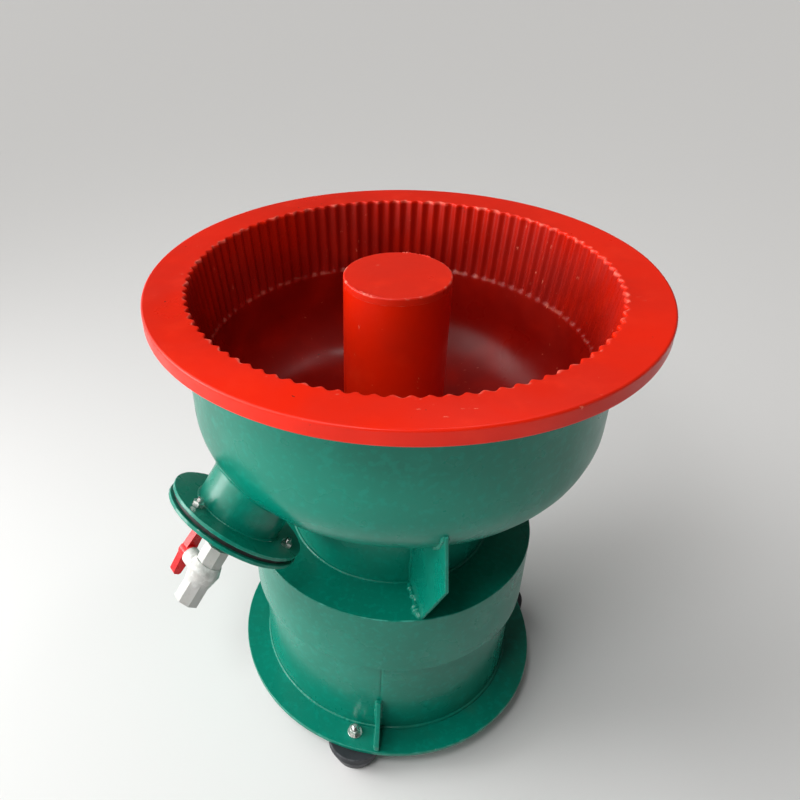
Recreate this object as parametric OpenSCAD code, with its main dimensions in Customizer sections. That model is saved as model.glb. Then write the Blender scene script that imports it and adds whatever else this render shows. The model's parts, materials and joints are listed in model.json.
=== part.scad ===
// Vibratory rock tumbler with a polyurethane-lined bowl, about 60 litres.
// Origin: centre of the circle that the three feet stand on. +Z is up, the front is -Y.
// Azimuths are counted from the front (-Y) towards the right (+X).

/* [Bowl] */
// Outer diameter of the lining's rim
rim_d = 760; // [740:1:800]
// Thickness of the rim
rim_t = 24; // [18:1:30]
// Rounding of the rim's edges
rim_edge = 3; // [1:0.5:5]
// Outer diameter of the steel bowl shell
shell_d = 650; // [640:1:660]
// Height of the shell, from its bottom to the underside of the rim
shell_h = 280; // [260:1:300]
// Radius of the shell's rounded bottom corner
shell_corner = 115; // [100:1:125]
// Steel thickness of the shell
shell_t = 4; // [3:0.5:5]
// Width of the steel ring that stiffens the rim from below
rim_ring_w = 37; // [20:1:45]
// Thickness of that ring
rim_ring_t = 5; // [4:1:8]

/* [Lining] */
// Thickness of the lining on the floor of the bowl
floor_t = 12; // [8:1:16]
// Inner diameter of the smooth wall below the flutes
trough_d = 598.4; // [580:0.1:604]
// Radius of the trough's bottom corner
trough_corner = 95; // [80:1:105]
// Diameter of the mouth, measured on the crests of the flutes
mouth_d = 627; // [615:1:630]
// Height of the fluted band, from the ledge to the top of the rim
flute_h = 126; // [100:1:140]
// Depth of a flute
flute_depth = 5.5; // [3:0.5:6]
// Number of flutes
flute_n = 96; // [48:1:120]

/* [Centre post] */
// Diameter of the lined centre post
post_d = 163; // [150:1:180]
// Radius of the fillet at the foot of the post
post_fillet = 36; // [20:1:45]
// Outer diameter of the steel tube in the post
tube_d = 142; // [120:1:144]
// Wall of that tube
tube_t = 4; // [3:0.5:5]
// Thickness of the cap on the post
cap_t = 12; // [8:1:16]

/* [Neck, plate and skirt] */
// Outer diameter of the neck under the bowl
neck_d = 351; // [340:1:360]
// Height of the neck
neck_h = 171; // [150:1:190]
// Outer diameter of the motor plate and its skirt
skirt_d = 503; // [496:1:512]
// Height of the skirt below the plate
skirt_h = 118; // [90:1:125]
// Thickness of the motor plate
plate_t = 8; // [6:1:12]
// Wall of the neck and of the skirt
wall_t = 4; // [3:0.5:6]
// Thickness of the gussets under the bowl
bowl_gusset_t = 5; // [4:0.5:8]
// Azimuth of the first of them
bowl_gusset_az = 13.4; // [0:0.1:30]
// Distance of their outer corner from the machine's axis
bowl_gusset_r = 345; // [330:1:350]
// Height of the top of their outer edge above the bottom of the shell
bowl_gusset_top = 84; // [70:1:90]

/* [Discharge port] */
// Azimuth of the port
port_az = -49.8; // [-60:0.1:-40]
// Angle of the port's axis below the horizontal
port_tilt = 50.1; // [45:0.1:55]
// Distance of the port flange's centre from the machine's axis
port_r = 302; // [298:1:310]
// Height of the port flange's centre above the floor
port_z = 526; // [518:1:532]
// Outer diameter of the port pipe
port_pipe_d = 140; // [120:1:144]
// Wall of the port pipe
port_pipe_t = 5; // [4:0.5:6]
// Diameter of the port flanges
port_flange_d = 222; // [210:1:230]
// Thickness of the port flanges
port_flange_t = 6; // [5:0.5:10]
// Thickness of the gasket between them
gasket_t = 8; // [3:0.5:9]
// Diameter of the circle that the port bolts stand on
port_bolt_pcd = 176; // [166:1:190]
// Place of the first port bolt round the flange
port_bolt_az = 56; // [0:1:119]

/* [Drain valve] */
// Distance of the valve body from the blind plate
valve_gap = 42; // [38:1:60]
// Length of the valve body
valve_l = 104; // [100:1:112]
// Width of the valve's eight-sided ends across flats
valve_end_w = 41; // [40:0.5:44]
// Largest diameter of the valve body
valve_mid_d = 53; // [50:0.5:56]
// Diameter of the flow passage
valve_bore_d = 25; // [20:0.5:26]
// Diameter of the pipe sockets
valve_socket_d = 32.2; // [32:0.1:33]
// Depth of the pipe sockets
valve_socket_l = 22; // [18:1:24]
// Length of the handle
handle_l = 86; // [70:1:96]

/* [Base] */
// Height of the rubber feet
foot_h = 48; // [30:1:60]
// Diameter of the rubber feet at the top
foot_d = 97; // [80:1:100]
// Distance of the feet from the machine's axis
foot_r = 257; // [250:1:262]
// Azimuth of the first foot
foot_az = -10.2; // [-20:0.1:-8]
// Diameter of the base flange
base_flange_d = 573.6; // [560:0.1:600]
// Thickness of the base flange
base_flange_t = 8; // [6:1:12]
// Diameter of the hole in the base flange
base_hole_d = 380; // [340:1:400]
// Outer diameter of the base cylinder
base_d = 475.6; // [470:0.1:482]
// Height of the base cylinder above the flange
base_h = 252; // [240:1:260]
// Wall of the base cylinder
base_t = 5; // [4:0.5:8]
// Thickness of the gussets on the base
base_gusset_t = 8; // [6:1:10]
// Azimuth of the first of them
base_gusset_az = -1.1; // [-5:0.1:5]
// Height of the gussets on the base
base_gusset_h = 81; // [60:1:100]

/* [Springs] */
// Number of springs
spring_n = 6; // [4:1:8]
// Height of the spring seats above the base flange
seat_h = 175; // [165:1:185]
// Length of the loaded springs
spring_l = 131; // [120:1:140]
// Mean diameter of a spring's coil
spring_d = 39; // [34:1:42]
// Wire diameter
wire_d = 6; // [5:0.5:7]
// Turns of wire
spring_turns = 7; // [5:1:8]
// Distance of the springs from the machine's axis
spring_r = 203; // [200:1:205]
// Width of the ring that carries the springs
seat_ring_w = 67.8; // [60:0.1:70]

/* [Motor] */
// Outer diameter of the motor housing
motor_d = 176; // [160:1:180]
// Length of the motor housing
motor_l = 208; // [190:1:220]
// Height of the motor housing above the plate's underside
motor_rise = 86; // [80:1:96]
// Diameter of the motor's mounting flange
motor_flange_d = 260; // [250:1:270]
// Diameter of the shaft
shaft_d = 35; // [30:1:38]
// Radius of the eccentric weights
weight_r = 125; // [100:1:135]
// Thickness of the eccentric weights
weight_t = 40; // [30:1:44]

/* [Hidden] */
$fn = 96;
over = 1;                                   // how far a cutter runs past a face

// radii
rim_r = rim_d / 2;
shell_r = shell_d / 2;
trough_r = trough_d / 2;
mouth_r = mouth_d / 2;
post_r = post_d / 2;
tube_r = tube_d / 2;
neck_r = neck_d / 2;
skirt_r = skirt_d / 2;
base_r = base_d / 2;
base_flange_r = base_flange_d / 2;
foot_top_r = foot_d / 2;
motor_r = motor_d / 2;
shaft_r = shaft_d / 2;
wire_r = wire_d / 2;

// heights above the floor, from the feet up
flange_z = foot_h;
base_z = flange_z + base_flange_t;
seat_z = base_z + seat_h;
plate_z = seat_z + spring_l;                // underside of the motor plate
neck_z = plate_z + plate_t;
bowl_z = neck_z + neck_h;
rim_z = bowl_z + shell_h;
top_z = rim_z + rim_t;
trough_z = bowl_z + shell_t + floor_t;
ledge_z = top_z - flute_h;

// flutes: a crest and a valley to a flute
flute_steps = 2;
ledge_run = 6;                              // half the height of a flute's run-out
wall_z = ledge_z - ledge_run;               // the lining's fluted wall stands on its trough here
floor_r = 186;                              // the lining's trough stands round its floor here
sleeve_edge = 1;                            // thickness of the post sleeve's foot at its edge

// standard sizes: [thread radius, nut width across flats, nut height, head height]
M10 = [5, 16, 8, 6.4];
M12 = [6, 18, 10, 7.5];
hole_play = 0.5;                            // bolt holes are this much wider, on the radius
stud_out = 7;                               // a thread shows this much above its nut
run_fit = 0.05;                             // radial clearance of turning fits

foot_low_r = foot_top_r * 0.75;
foot_side_z = foot_h * 0.7;                 // the foot narrows below this height
foot_grip = 24;                             // depth of the stud in the rubber
washer_t = 2.5;
washer_r = M12[1] / 2 + 4;

base_gusset_out = 13;                       // height of a base gusset at the flange's edge
base_gusset_in = 8;                         // width of a base gusset at its top
base_seam_az = -0.5;
base_seam = 1.2;                            // width and depth of the seam's groove

seat_ring_t = 8;
boss_r = spring_d / 2 - wire_r - 3;
boss_h = 14;
spring_rings = 12;                          // cross sections to a turn
spring_sides = 6;

port_pipe_r = port_pipe_d / 2;
port_bore_r = port_pipe_r - port_pipe_t;
port_bolts_n = 3;
gasket_s = port_flange_t;
blind_s = gasket_s + gasket_t;
port_end_s = blind_s + port_flange_t;       // outer face of the blind plate
port_reach = 110;                           // the port's cutters run this far up its axis
corner_out = port_r - (trough_r - trough_corner);
corner_down = trough_z + trough_corner - port_z;
corner_along = corner_out * cos(port_tilt) + corner_down * sin(port_tilt);
corner_off = norm([corner_out, corner_down]);
// where the port's axis meets the trough's rounded corner: the drain plug's face is there
plug_s = sqrt(pow(corner_along, 2) - pow(corner_off, 2) + pow(trough_corner, 2)) - corner_along;
gasket_r = port_flange_d / 2 - 6;
plug_play = 0.3;
drain_slot_r = 2;
drain_row = 14;
drain_rings = 3;
drain_well = 10;                            // depth of the hollow under the drain plug

valve_s = port_end_s + valve_gap;
ball_s = valve_s + valve_l / 2;             // centre of the ball
ball_r = 18.5;
ball_play = 0.6;
seat_t = 4;
socket_r = valve_socket_d / 2;
bore_r = valve_bore_d / 2;
nipple_wall = 3.2;
collar_r = 15;
collar_b = 44;                              // the collar's face, counted from the valve's axis
stem_r = 6;
stem_in = 14.5;                             // inner end of the stem
seal_b = 32;
seal_wire = 1.4;
handle_b = collar_b + 1.5;
handle_hub_r = 13;
handle_hub_h = 18;
handle_wing_h = 14;
handle_w = 22;
handle_tip_w = 15;
handle_chamfer = 3;
handle_rib_h = 3;
handle_rib_w = 5;
handle_grip = 10;                           // depth of the stem in the handle
handle_boss_r = 8;
handle_screw_r = 2.5;
handle_screw_head_r = 4.2;

motor_bore_r = motor_r - 6;
motor_top = plate_z + motor_rise;
motor_bottom = motor_top - motor_l;
motor_flange_t = 12;
motor_bolt_pcd = 224;
motor_bolt_n = 6;
core_l = 140;
core_z = motor_bottom + (motor_l - core_l) / 2;
rotor_r = 50;
air_gap = 0.6;
spider_r = 22;
spider_over = 15;                           // the spider stands this far out of the core
bell_t = 12;
bell_boss_r = 44;
bell_boss_h = 12;                           // the boss stands this far out of the bell
bell_spigot = 6;
bearing_r = 36;
bearing_t = 17;
upper_weight_z = motor_top + 34;
lower_weight_z = motor_bottom - 32 - weight_t;
shaft_top = upper_weight_z + weight_t + 10;
shaft_bottom = lower_weight_z - 8;
weight_hub_r = 38;
screw_r = 5;
terminal_w = 64;
terminal_d = 40;
terminal_h = 68;
terminal_z = plate_z - motor_flange_t - M12[2] - 8 - terminal_h;
terminal_wall = 3;
terminal_lid_t = 4;

gland_z = base_z + 57;
gland_r = 10;
gland_bore_r = 5.5;
gland_hex_w = 24;
gland_hex_t = 6;
gland_dome_r = 11.5;
gland_dome_l = 16;
gland_nut_t = 5;

green = "#0b8f78";
red = "#e01a08";
zinc = "#b9bdc2";

// ---------------------------------------------------------------- shared shapes

// turns +X to an azimuth
module polar(az) { rotate([0, 0, az - 90]) children(); }

// ring or washer standing on z = 0
module ring(r_out, r_in, h) {
    difference() {
        cylinder(r = r_out, h = h);
        translate([0, 0, -over]) cylinder(r = r_in, h = h + 2 * over);
    }
}

// hexagonal prism, w across flats
module hex(w, h) { cylinder(r = w / 2 / cos(30), h = h, $fn = 6); }

// nut standing on z = 0
module nut(size, h) {
    difference() {
        hex(size[1], h);
        translate([0, 0, -over]) cylinder(r = size[0], h = h + 2 * over);
    }
}

// flat plate drawn in radius and height, standing on a radial plane
module radial_plate(t) { rotate([90, 0, 0]) linear_extrude(t, center = true) children(); }

// half section of a round tub with a rounded bottom corner
module tub(r, corner, z0, z1) {
    translate([0, z0]) square([r - corner, z1 - z0]);
    translate([0, z0 + corner]) square([r, z1 - z0 - corner]);
    translate([r - corner, z0 + corner]) intersection() {
        circle(corner);
        translate([0, -corner]) square(corner);
    }
}

// half section of a disc with rounded outer edges
module rounded_disc(r, z0, t, edge) {
    translate([0, z0]) square([r - edge, t]);
    translate([0, z0 + edge]) square([r, t - 2 * edge]);
    for (z = [z0 + edge, z0 + t - edge]) translate([r - edge, z]) circle(edge, $fn = 24);
}

// the port's own frame: +Z runs out along its axis from the upper face of the port flange
module at_port(s) {
    polar(port_az) translate([port_r, 0, port_z]) rotate([0, 90 + port_tilt, 0])
        translate([0, 0, s]) children();
}

module at_port_bolts(s) {
    at_port(s) for (i = [0:port_bolts_n - 1])
        rotate([0, 0, port_bolt_az + i * 360 / port_bolts_n])
            translate([port_bolt_pcd / 2, 0, 0]) children();
}

module at_feet(z) {
    for (i = [0:2]) polar(foot_az + 120 * i) translate([foot_r, 0, z]) children();
}

module at_springs(z) {
    for (i = [0:spring_n - 1]) polar(30 + i * 360 / spring_n)
        translate([spring_r, 0, z]) children();
}

module at_motor_bolts(z) {
    for (i = [0:motor_bolt_n - 1]) polar(i * 360 / motor_bolt_n)
        translate([motor_bolt_pcd / 2, 0, z]) children();
}

// ---------------------------------------------------------------- trough shape

function flute_r(r, k) = r + flute_depth * (1 - cos(360 * k / flute_steps)) / 2;
function crest_r(z) = trough_r + (mouth_r - trough_r) * (z - ledge_z) / flute_h;

// rings of the fluted space: a plain one under the ledge, then two with flutes
flute_z = [wall_z, ledge_z + ledge_run, top_z + over];
flute_pts = flute_n * flute_steps;
fluted_points = [for (i = [0:2], k = [0:flute_pts - 1])
    let (r = i == 0 ? trough_r - 1.2 : flute_r(crest_r(flute_z[i]), k), a = 360 * k / flute_pts)
    [r * cos(a), r * sin(a), flute_z[i]]];
fluted_faces = concat(
    [[for (k = [0:flute_pts - 1]) k]],
    [for (i = [0:1], k = [0:flute_pts - 1], t = [0:1])
        let (a = i * flute_pts + k, b = i * flute_pts + (k + 1) % flute_pts)
        t == 0 ? [a, a + flute_pts, b] : [b, a + flute_pts, b + flute_pts]],
    [[for (k = [flute_pts - 1:-1:0]) 2 * flute_pts + k]]);

module fluted_trough() { polyhedron(fluted_points, fluted_faces); }

// ---------------------------------------------------------------- base

module rubber_feet() {
    color("#1d1f22") difference() {
        at_feet(0) {
            translate([0, 0, foot_side_z]) cylinder(r = foot_top_r, h = foot_h - foot_side_z);
            cylinder(r1 = foot_low_r, r2 = foot_top_r, h = foot_side_z);
        }
        at_feet(foot_h - foot_grip) cylinder(r = M12[0], h = foot_grip + over);
    }
}

module foot_studs() {
    stud_l = foot_grip + base_flange_t + washer_t + M12[2] + stud_out;
    color(zinc) at_feet(foot_h - foot_grip) cylinder(r = M12[0], h = stud_l);
}

module foot_washers() { color(zinc) at_feet(base_z) ring(washer_r, M12[0], washer_t); }

module foot_nuts() { color(zinc) at_feet(base_z + washer_t) nut(M12, M12[2]); }

module base_flange() {
    color(green) difference() {
        translate([0, 0, flange_z]) ring(base_flange_r, base_hole_d / 2, base_flange_t);
        at_feet(flange_z - over)
            cylinder(r = M12[0] + hole_play, h = base_flange_t + 2 * over);
    }
}

module base_cylinder() {
    seam_z = base_z + base_gusset_h;
    color(green) difference() {
        translate([0, 0, base_z]) ring(base_r, base_r - base_t, base_h);
        polar(base_seam_az) translate([base_r - base_seam, -base_seam / 2, seam_z])
            cube([2 * base_seam, base_seam, base_h]);
        translate([0, base_r - 2 * base_t, gland_z]) rotate([-90, 0, 0])
            cylinder(r = gland_r, h = 3 * base_t);
    }
}

module base_gussets() {
    out_r = base_flange_r - 2;
    color(green) difference() {
        for (i = [0:2]) polar(base_gusset_az + 120 * i) radial_plate(base_gusset_t)
            polygon([[base_r - 2, base_z], [out_r, base_z], [out_r, base_z + base_gusset_out],
                [base_r + base_gusset_in, base_z + base_gusset_h], [base_r - 2, base_z + base_gusset_h]]);
        translate([0, 0, flange_z]) cylinder(r = base_r, h = base_h);
    }
}

module spring_ring() {
    color(green) translate([0, 0, seat_z - seat_ring_t])
        ring(base_r - base_t, base_r - base_t - seat_ring_w, seat_ring_t);
}

module lower_spring_seats() { color(green) at_springs(seat_z) cylinder(r = boss_r, h = boss_h); }

// helix of the wire's centre: the pitch is tighter at both ends
function coil_z(t) = wire_r + (spring_l - wire_d) * (t - 0.6 * sin(360 * t) / 360 * 180 / PI);
function coil_centre(t) = let (a = 360 * spring_turns * t)
    [spring_d / 2 * cos(a), spring_d / 2 * sin(a), coil_z(t)];

coil_n = spring_rings * spring_turns;
coil_points = [for (i = [0:coil_n], j = [0:spring_sides - 1])
    let (t = i / coil_n, a = 360 * spring_turns * t, b = 360 * j / spring_sides,
        c = coil_centre(t))
    [c[0] + wire_r * cos(b) * cos(a), c[1] + wire_r * cos(b) * sin(a), c[2] + wire_r * sin(b)]];
coil_faces = concat(
    [[for (j = [0:spring_sides - 1]) j]],
    [for (i = [0:coil_n - 1], j = [0:spring_sides - 1], t = [0:1])
        let (a = i * spring_sides + j, b = i * spring_sides + (j + 1) % spring_sides)
        t == 0 ? [a, a + spring_sides, b] : [b, a + spring_sides, b + spring_sides]],
    [[for (j = [spring_sides - 1:-1:0]) coil_n * spring_sides + j]]);

module springs() { color("#8f959b") at_springs(seat_z) polyhedron(coil_points, coil_faces); }

// the gland's own frame: +Z runs out through the wall at the back of the base
module at_gland(s) { translate([0, base_r + s, gland_z]) rotate([-90, 0, 0]) children(); }

module cable_gland() {
    inside = base_t + gland_nut_t + 2;
    color("#2b2d30") difference() {
        union() {
            at_gland(-inside) cylinder(r = gland_r, h = inside + gland_hex_t);
            at_gland(0) hex(gland_hex_w, gland_hex_t);
        }
        at_gland(-inside - over) cylinder(r = gland_bore_r, h = inside + gland_hex_t + 2 * over);
    }
}

module gland_dome() {
    color("#2b2d30") at_gland(gland_hex_t) difference() {
        union() {
            cylinder(r = gland_dome_r, h = gland_dome_l - 4);
            translate([0, 0, gland_dome_l - 4])
                cylinder(r1 = gland_dome_r, r2 = gland_dome_r - 3, h = 4);
        }
        translate([0, 0, -over]) cylinder(r = gland_bore_r, h = gland_dome_l + 2 * over);
    }
}

module gland_locknut() {
    color("#2b2d30") at_gland(-base_t - gland_nut_t - 0.6) difference() {
        hex(gland_hex_w + 2, gland_nut_t);
        translate([0, 0, -over]) cylinder(r = gland_r, h = gland_nut_t + 2 * over);
    }
}

// ---------------------------------------------------------------- bowl frame

module motor_plate() {
    color(green) difference() {
        translate([0, 0, plate_z]) ring(skirt_r, motor_r + 4, plate_t);
        at_motor_bolts(plate_z - over) cylinder(r = M12[0] + hole_play, h = plate_t + 2 * over);
    }
}

module skirt() {
    color(green) translate([0, 0, plate_z - skirt_h])
        ring(skirt_r, skirt_r - wall_t, skirt_h);
}

module neck_ring() {
    color(green) translate([0, 0, neck_z]) ring(neck_r, neck_r - wall_t, neck_h);
}

module shell_solid() { rotate_extrude() tub(shell_r, shell_corner, bowl_z, rim_z); }

module bowl_gussets() {
    color(green) difference() {
        for (i = [0:2]) polar(bowl_gusset_az + 120 * i) radial_plate(bowl_gusset_t)
            polygon([[neck_r - 3, neck_z], [skirt_r - 2, neck_z], [bowl_gusset_r, bowl_z + 4],
                [shell_r - 1, bowl_z + bowl_gusset_top],
                [neck_r - 3, bowl_z + bowl_gusset_top]]);
        shell_solid();
        translate([0, 0, neck_z - over]) cylinder(r = neck_r, h = neck_h + 2 * over);
    }
}

module port_bore() { at_port(-port_reach) cylinder(r = port_bore_r, h = port_reach + over); }

module bowl_shell() {
    color(green) difference() {
        rotate_extrude() difference() {
            tub(shell_r, shell_corner, bowl_z, rim_z);
            tub(shell_r - shell_t, shell_corner - shell_t, bowl_z + shell_t, rim_z + over);
            translate([0, bowl_z - over]) square([tube_r, shell_t + 2 * over]);
        }
        port_bore();
    }
}

module rim_ring() {
    color(green) translate([0, 0, rim_z])
        ring(shell_r - shell_t + rim_ring_w, shell_r - shell_t, rim_ring_t);
}

// rim and fluted wall
module bowl_lining() {
    inner_r = shell_r - shell_t;
    color(red) difference() {
        rotate_extrude() difference() {
            union() {
                translate([0, wall_z]) square([inner_r, rim_z - wall_z + over]);
                rounded_disc(rim_r, rim_z, rim_t, rim_edge);
            }
            translate([inner_r, rim_z - over]) square([rim_ring_w, rim_ring_t + over]);
            translate([0, wall_z - over]) square([trough_r, 1.5 * ledge_run + over]);
        }
        fluted_trough();
    }
}

// plain wall and rounded corner
module trough_lining() {
    color(red) difference() {
        rotate_extrude() difference() {
            tub(shell_r - shell_t, shell_corner - shell_t, bowl_z + shell_t, wall_z);
            tub(trough_r, trough_corner, trough_z, wall_z + over);
            translate([0, bowl_z]) square([floor_r, shell_h]);
        }
        port_bore();
    }
}

module floor_lining() {
    color(red) translate([0, 0, trough_z - floor_t]) ring(floor_r, tube_r, floor_t);
}

module post_tube() {
    color(green) translate([0, 0, bowl_z]) ring(tube_r, tube_r - tube_t, top_z - cap_t - bowl_z);
}

// sleeve over the tube, with a flared foot that stands on the lining's floor
module post_sleeve() {
    foot = post_fillet + sleeve_edge;
    color(red) translate([0, 0, trough_z]) rotate_extrude() difference() {
        union() {
            square([post_r, top_z - cap_t - trough_z]);
            difference() {
                square([post_r + post_fillet, foot]);
                translate([post_r + post_fillet, foot]) circle(post_fillet);
            }
        }
        translate([0, -over]) square([tube_r, top_z]);
    }
}

module post_cap() {
    spigot_r = tube_r - tube_t - 0.5;
    color(red) rotate_extrude() {
        rounded_disc(post_r, top_z - cap_t, cap_t, rim_edge);
        translate([0, top_z - cap_t]) square([post_r, rim_edge]);
        translate([0, top_z - 2 * cap_t]) square([spigot_r, cap_t + over]);
    }
}

module upper_spring_seats() {
    color(green) at_springs(plate_z - boss_h) cylinder(r = boss_r, h = boss_h);
}

// ---------------------------------------------------------------- discharge port

module discharge_pipe() {
    color(green) difference() {
        at_port(-port_reach) cylinder(r = port_pipe_r, h = port_reach);
        port_bore();
        shell_solid();
    }
}

module port_ring(s, r_out, r_in, t) {
    difference() {
        at_port(s) ring(r_out, r_in, t);
        at_port_bolts(s - over) cylinder(r = M10[0] + hole_play, h = t + 2 * over);
    }
}

module port_flange() {
    color(green) port_ring(0, port_flange_d / 2, port_bore_r, port_flange_t);
}

module port_gasket() { color("#141414") port_ring(gasket_s, gasket_r, port_bore_r, gasket_t); }

module blind_plate() {
    color(green) port_ring(blind_s, port_flange_d / 2, socket_r, port_flange_t);
}

module port_bolts() {
    shank_l = port_end_s + M10[2] + stud_out;
    color(zinc) {
        at_port_bolts(port_end_s - shank_l) cylinder(r = M10[0], h = shank_l + M10[3] / 2);
        at_port_bolts(port_end_s) hex(M10[1], M10[3]);
    }
}

module port_nuts() { color(zinc) at_port_bolts(-M10[2]) nut(M10, M10[2]); }

module drain_plug() {
    color(red) difference() {
        at_port(plug_s) cylinder(r = port_bore_r - plug_play, h = blind_s - plug_s);
        at_port(blind_s - drain_well) cylinder(r = port_bore_r - 8, h = drain_well + over);
        at_port(plug_s - over) {
            cylinder(r = drain_slot_r, h = blind_s - plug_s);
            for (ring_i = [1:drain_rings], k = [0:6 * ring_i - 1])
                rotate([0, 0, 60 * k / ring_i]) translate([drain_row * ring_i, 0, 0])
                    cylinder(r = drain_slot_r, h = blind_s - plug_s);
        }
    }
}

// ---------------------------------------------------------------- drain valve

module valve_nipple() {
    color(green) at_port(blind_s)
        ring(socket_r, socket_r - nipple_wall, valve_s + valve_socket_l - blind_s);
}

// places a child on the stem's axis: +Z runs out from the ball towards the handle
module at_stem(b) { at_port(ball_s) rotate([90, 0, 0]) translate([0, 0, b]) children(); }

module valve_body() {
    end_l = valve_l * 0.3;
    mid_l = valve_l - 2 * end_l;
    end_r = valve_end_w / 2 / cos(22.5);
    color("#eef0ee") difference() {
        union() {
            at_port(valve_s) rotate([0, 0, 22.5]) cylinder(r = end_r, h = valve_l, $fn = 8);
            at_port(valve_s + end_l)
                cylinder(r1 = valve_end_w / 2 + 2, r2 = valve_mid_d / 2, h = mid_l * 0.35);
            at_port(valve_s + end_l + mid_l * 0.35)
                cylinder(r1 = valve_mid_d / 2, r2 = valve_end_w / 2, h = mid_l * 0.65);
            at_stem(0) cylinder(r = collar_r, h = collar_b);
        }
        at_port(valve_s - over) cylinder(r = socket_r, h = valve_socket_l + over);
        at_port(valve_s + valve_l - valve_socket_l)
            cylinder(r = socket_r, h = valve_socket_l + over);
        at_port(valve_s) cylinder(r = bore_r, h = valve_l);
        at_port(ball_s) sphere(r = ball_r + ball_play);
        at_port(ball_s - ball_r - 1) cylinder(r = bore_r + seat_t, h = 2 * ball_r + 2);
        at_stem(0) cylinder(r = stem_r + run_fit, h = collar_b + over);
        at_stem(seal_b - seal_wire)
            cylinder(r = stem_r + run_fit + 2 * seal_wire, h = 2 * seal_wire);
    }
}

// two rings that the ball turns between
module valve_seats() {
    color("#f7f7f4") difference() {
        for (s = [ball_s - ball_r - 1, ball_s + ball_r + 1 - seat_t * 1.5])
            at_port(s) ring(bore_r + seat_t, bore_r, seat_t * 1.5);
        at_port(ball_s) sphere(r = ball_r + run_fit);
    }
}

module stem_seal() {
    color("#141414") at_stem(seal_b) rotate_extrude()
        translate([stem_r + run_fit + seal_wire, 0]) circle(seal_wire, $fn = 32);
}

module valve_ball() {
    color("#f7f7f4") difference() {
        at_port(ball_s) sphere(r = ball_r);
        at_port(ball_s - ball_r - over) cylinder(r = bore_r, h = 2 * (ball_r + over));
        at_stem(stem_in) cylinder(r = stem_r, h = ball_r);
    }
}

module valve_stem() {
    color("#f7f7f4") at_stem(stem_in) cylinder(r = stem_r, h = handle_b + handle_grip - stem_in);
}

// one wing of the handle, pointing along +Y of the stem's frame
module handle_wing() {
    tip = handle_tip_w / 2;
    linear_extrude(handle_wing_h) polygon([[-handle_w / 2, 0], [handle_w / 2, 0],
        [tip, handle_l / 2 - handle_chamfer], [tip - handle_chamfer, handle_l / 2],
        [handle_chamfer - tip, handle_l / 2], [-tip, handle_l / 2 - handle_chamfer]]);
    translate([-handle_rib_w / 2, 0, handle_wing_h])
        cube([handle_rib_w, handle_l / 2 - 4, handle_rib_h]);
}

module valve_handle() {
    wing_b = handle_b + handle_hub_h - handle_wing_h;
    color("#d8141c") difference() {
        union() {
            at_stem(handle_b) cylinder(r = handle_hub_r, h = handle_hub_h);
            at_stem(wing_b) for (a = [0, 180]) rotate([0, 0, a]) handle_wing();
            at_stem(handle_b + handle_hub_h) cylinder(r = handle_boss_r, h = handle_rib_h);
        }
        at_stem(handle_b - over) cylinder(r = stem_r, h = handle_grip + over);
        at_stem(handle_b) cylinder(r = handle_screw_r, h = 2 * handle_hub_h);
        at_stem(handle_b + handle_hub_h)
            cylinder(r = handle_screw_head_r + 0.3, h = handle_rib_h + over);
    }
}

module handle_screw() {
    color(zinc) {
        at_stem(handle_b + handle_grip)
            cylinder(r = handle_screw_r, h = handle_hub_h - handle_grip);
        at_stem(handle_b + handle_hub_h)
            cylinder(r = handle_screw_head_r, h = handle_rib_h - 0.5);
    }
}

// ---------------------------------------------------------------- motor

module motor_housing() {
    color("#3d4a52") translate([0, 0, motor_bottom]) ring(motor_r, motor_bore_r, motor_l);
}

module motor_flange() {
    ring_z = plate_z - motor_flange_t;
    color("#3d4a52") difference() {
        translate([0, 0, ring_z]) ring(motor_flange_d / 2, motor_r, motor_flange_t);
        at_motor_bolts(ring_z - over) cylinder(r = M12[0] + hole_play, h = motor_flange_t + 2 * over);
    }
}

module stator() {
    color("#b5652a") translate([0, 0, core_z]) ring(motor_bore_r, rotor_r + air_gap, core_l);
}

// end bell standing on z = 0 with its boss up
module end_bell() {
    difference() {
        union() {
            translate([0, 0, -bell_spigot]) cylinder(r = motor_bore_r, h = bell_spigot);
            cylinder(r = motor_r, h = bell_t);
            cylinder(r = bell_boss_r, h = bell_t + bell_boss_h);
        }
        translate([0, 0, -bell_spigot - over]) cylinder(r = bearing_r, h = bell_spigot + over + bearing_t);
        cylinder(r = shaft_r + 2, h = bell_t + bell_boss_h + over);
    }
}

module upper_end_bell() { color("#3d4a52") translate([0, 0, motor_top]) end_bell(); }

module lower_end_bell() {
    color("#3d4a52") translate([0, 0, motor_bottom]) rotate([180, 0, 0]) end_bell();
}

module bearing(z) { color(zinc) translate([0, 0, z]) ring(bearing_r, shaft_r + run_fit, bearing_t); }

module upper_bearing() { bearing(motor_top); }

module lower_bearing() { bearing(motor_bottom - bearing_t); }

module motor_bolts() {
    shank_l = plate_t + motor_flange_t + M12[2] + 4;
    color(zinc) {
        at_motor_bolts(neck_z) hex(M12[1], M12[3]);
        at_motor_bolts(neck_z - shank_l) cylinder(r = M12[0], h = shank_l + M12[3] / 2);
    }
}

module motor_nuts() {
    color(zinc) at_motor_bolts(plate_z - motor_flange_t - M12[2]) nut(M12, M12[2]);
}

module terminal_box() {
    depth = terminal_d - terminal_lid_t;
    color("#3d4a52") difference() {
        translate([-terminal_w / 2, motor_r - 8, terminal_z])
            cube([terminal_w, depth + 8, terminal_h]);
        translate([-terminal_w / 2 + terminal_wall, motor_r + 4, terminal_z + terminal_wall])
            cube([terminal_w - 2 * terminal_wall, depth, terminal_h - 2 * terminal_wall]);
        translate([0, 0, motor_bottom]) cylinder(r = motor_r, h = motor_l);
    }
}

module terminal_lid() {
    color("#3d4a52") translate([-terminal_w / 2, motor_r + terminal_d - terminal_lid_t, terminal_z])
        cube([terminal_w, terminal_lid_t, terminal_h]);
}

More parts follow.
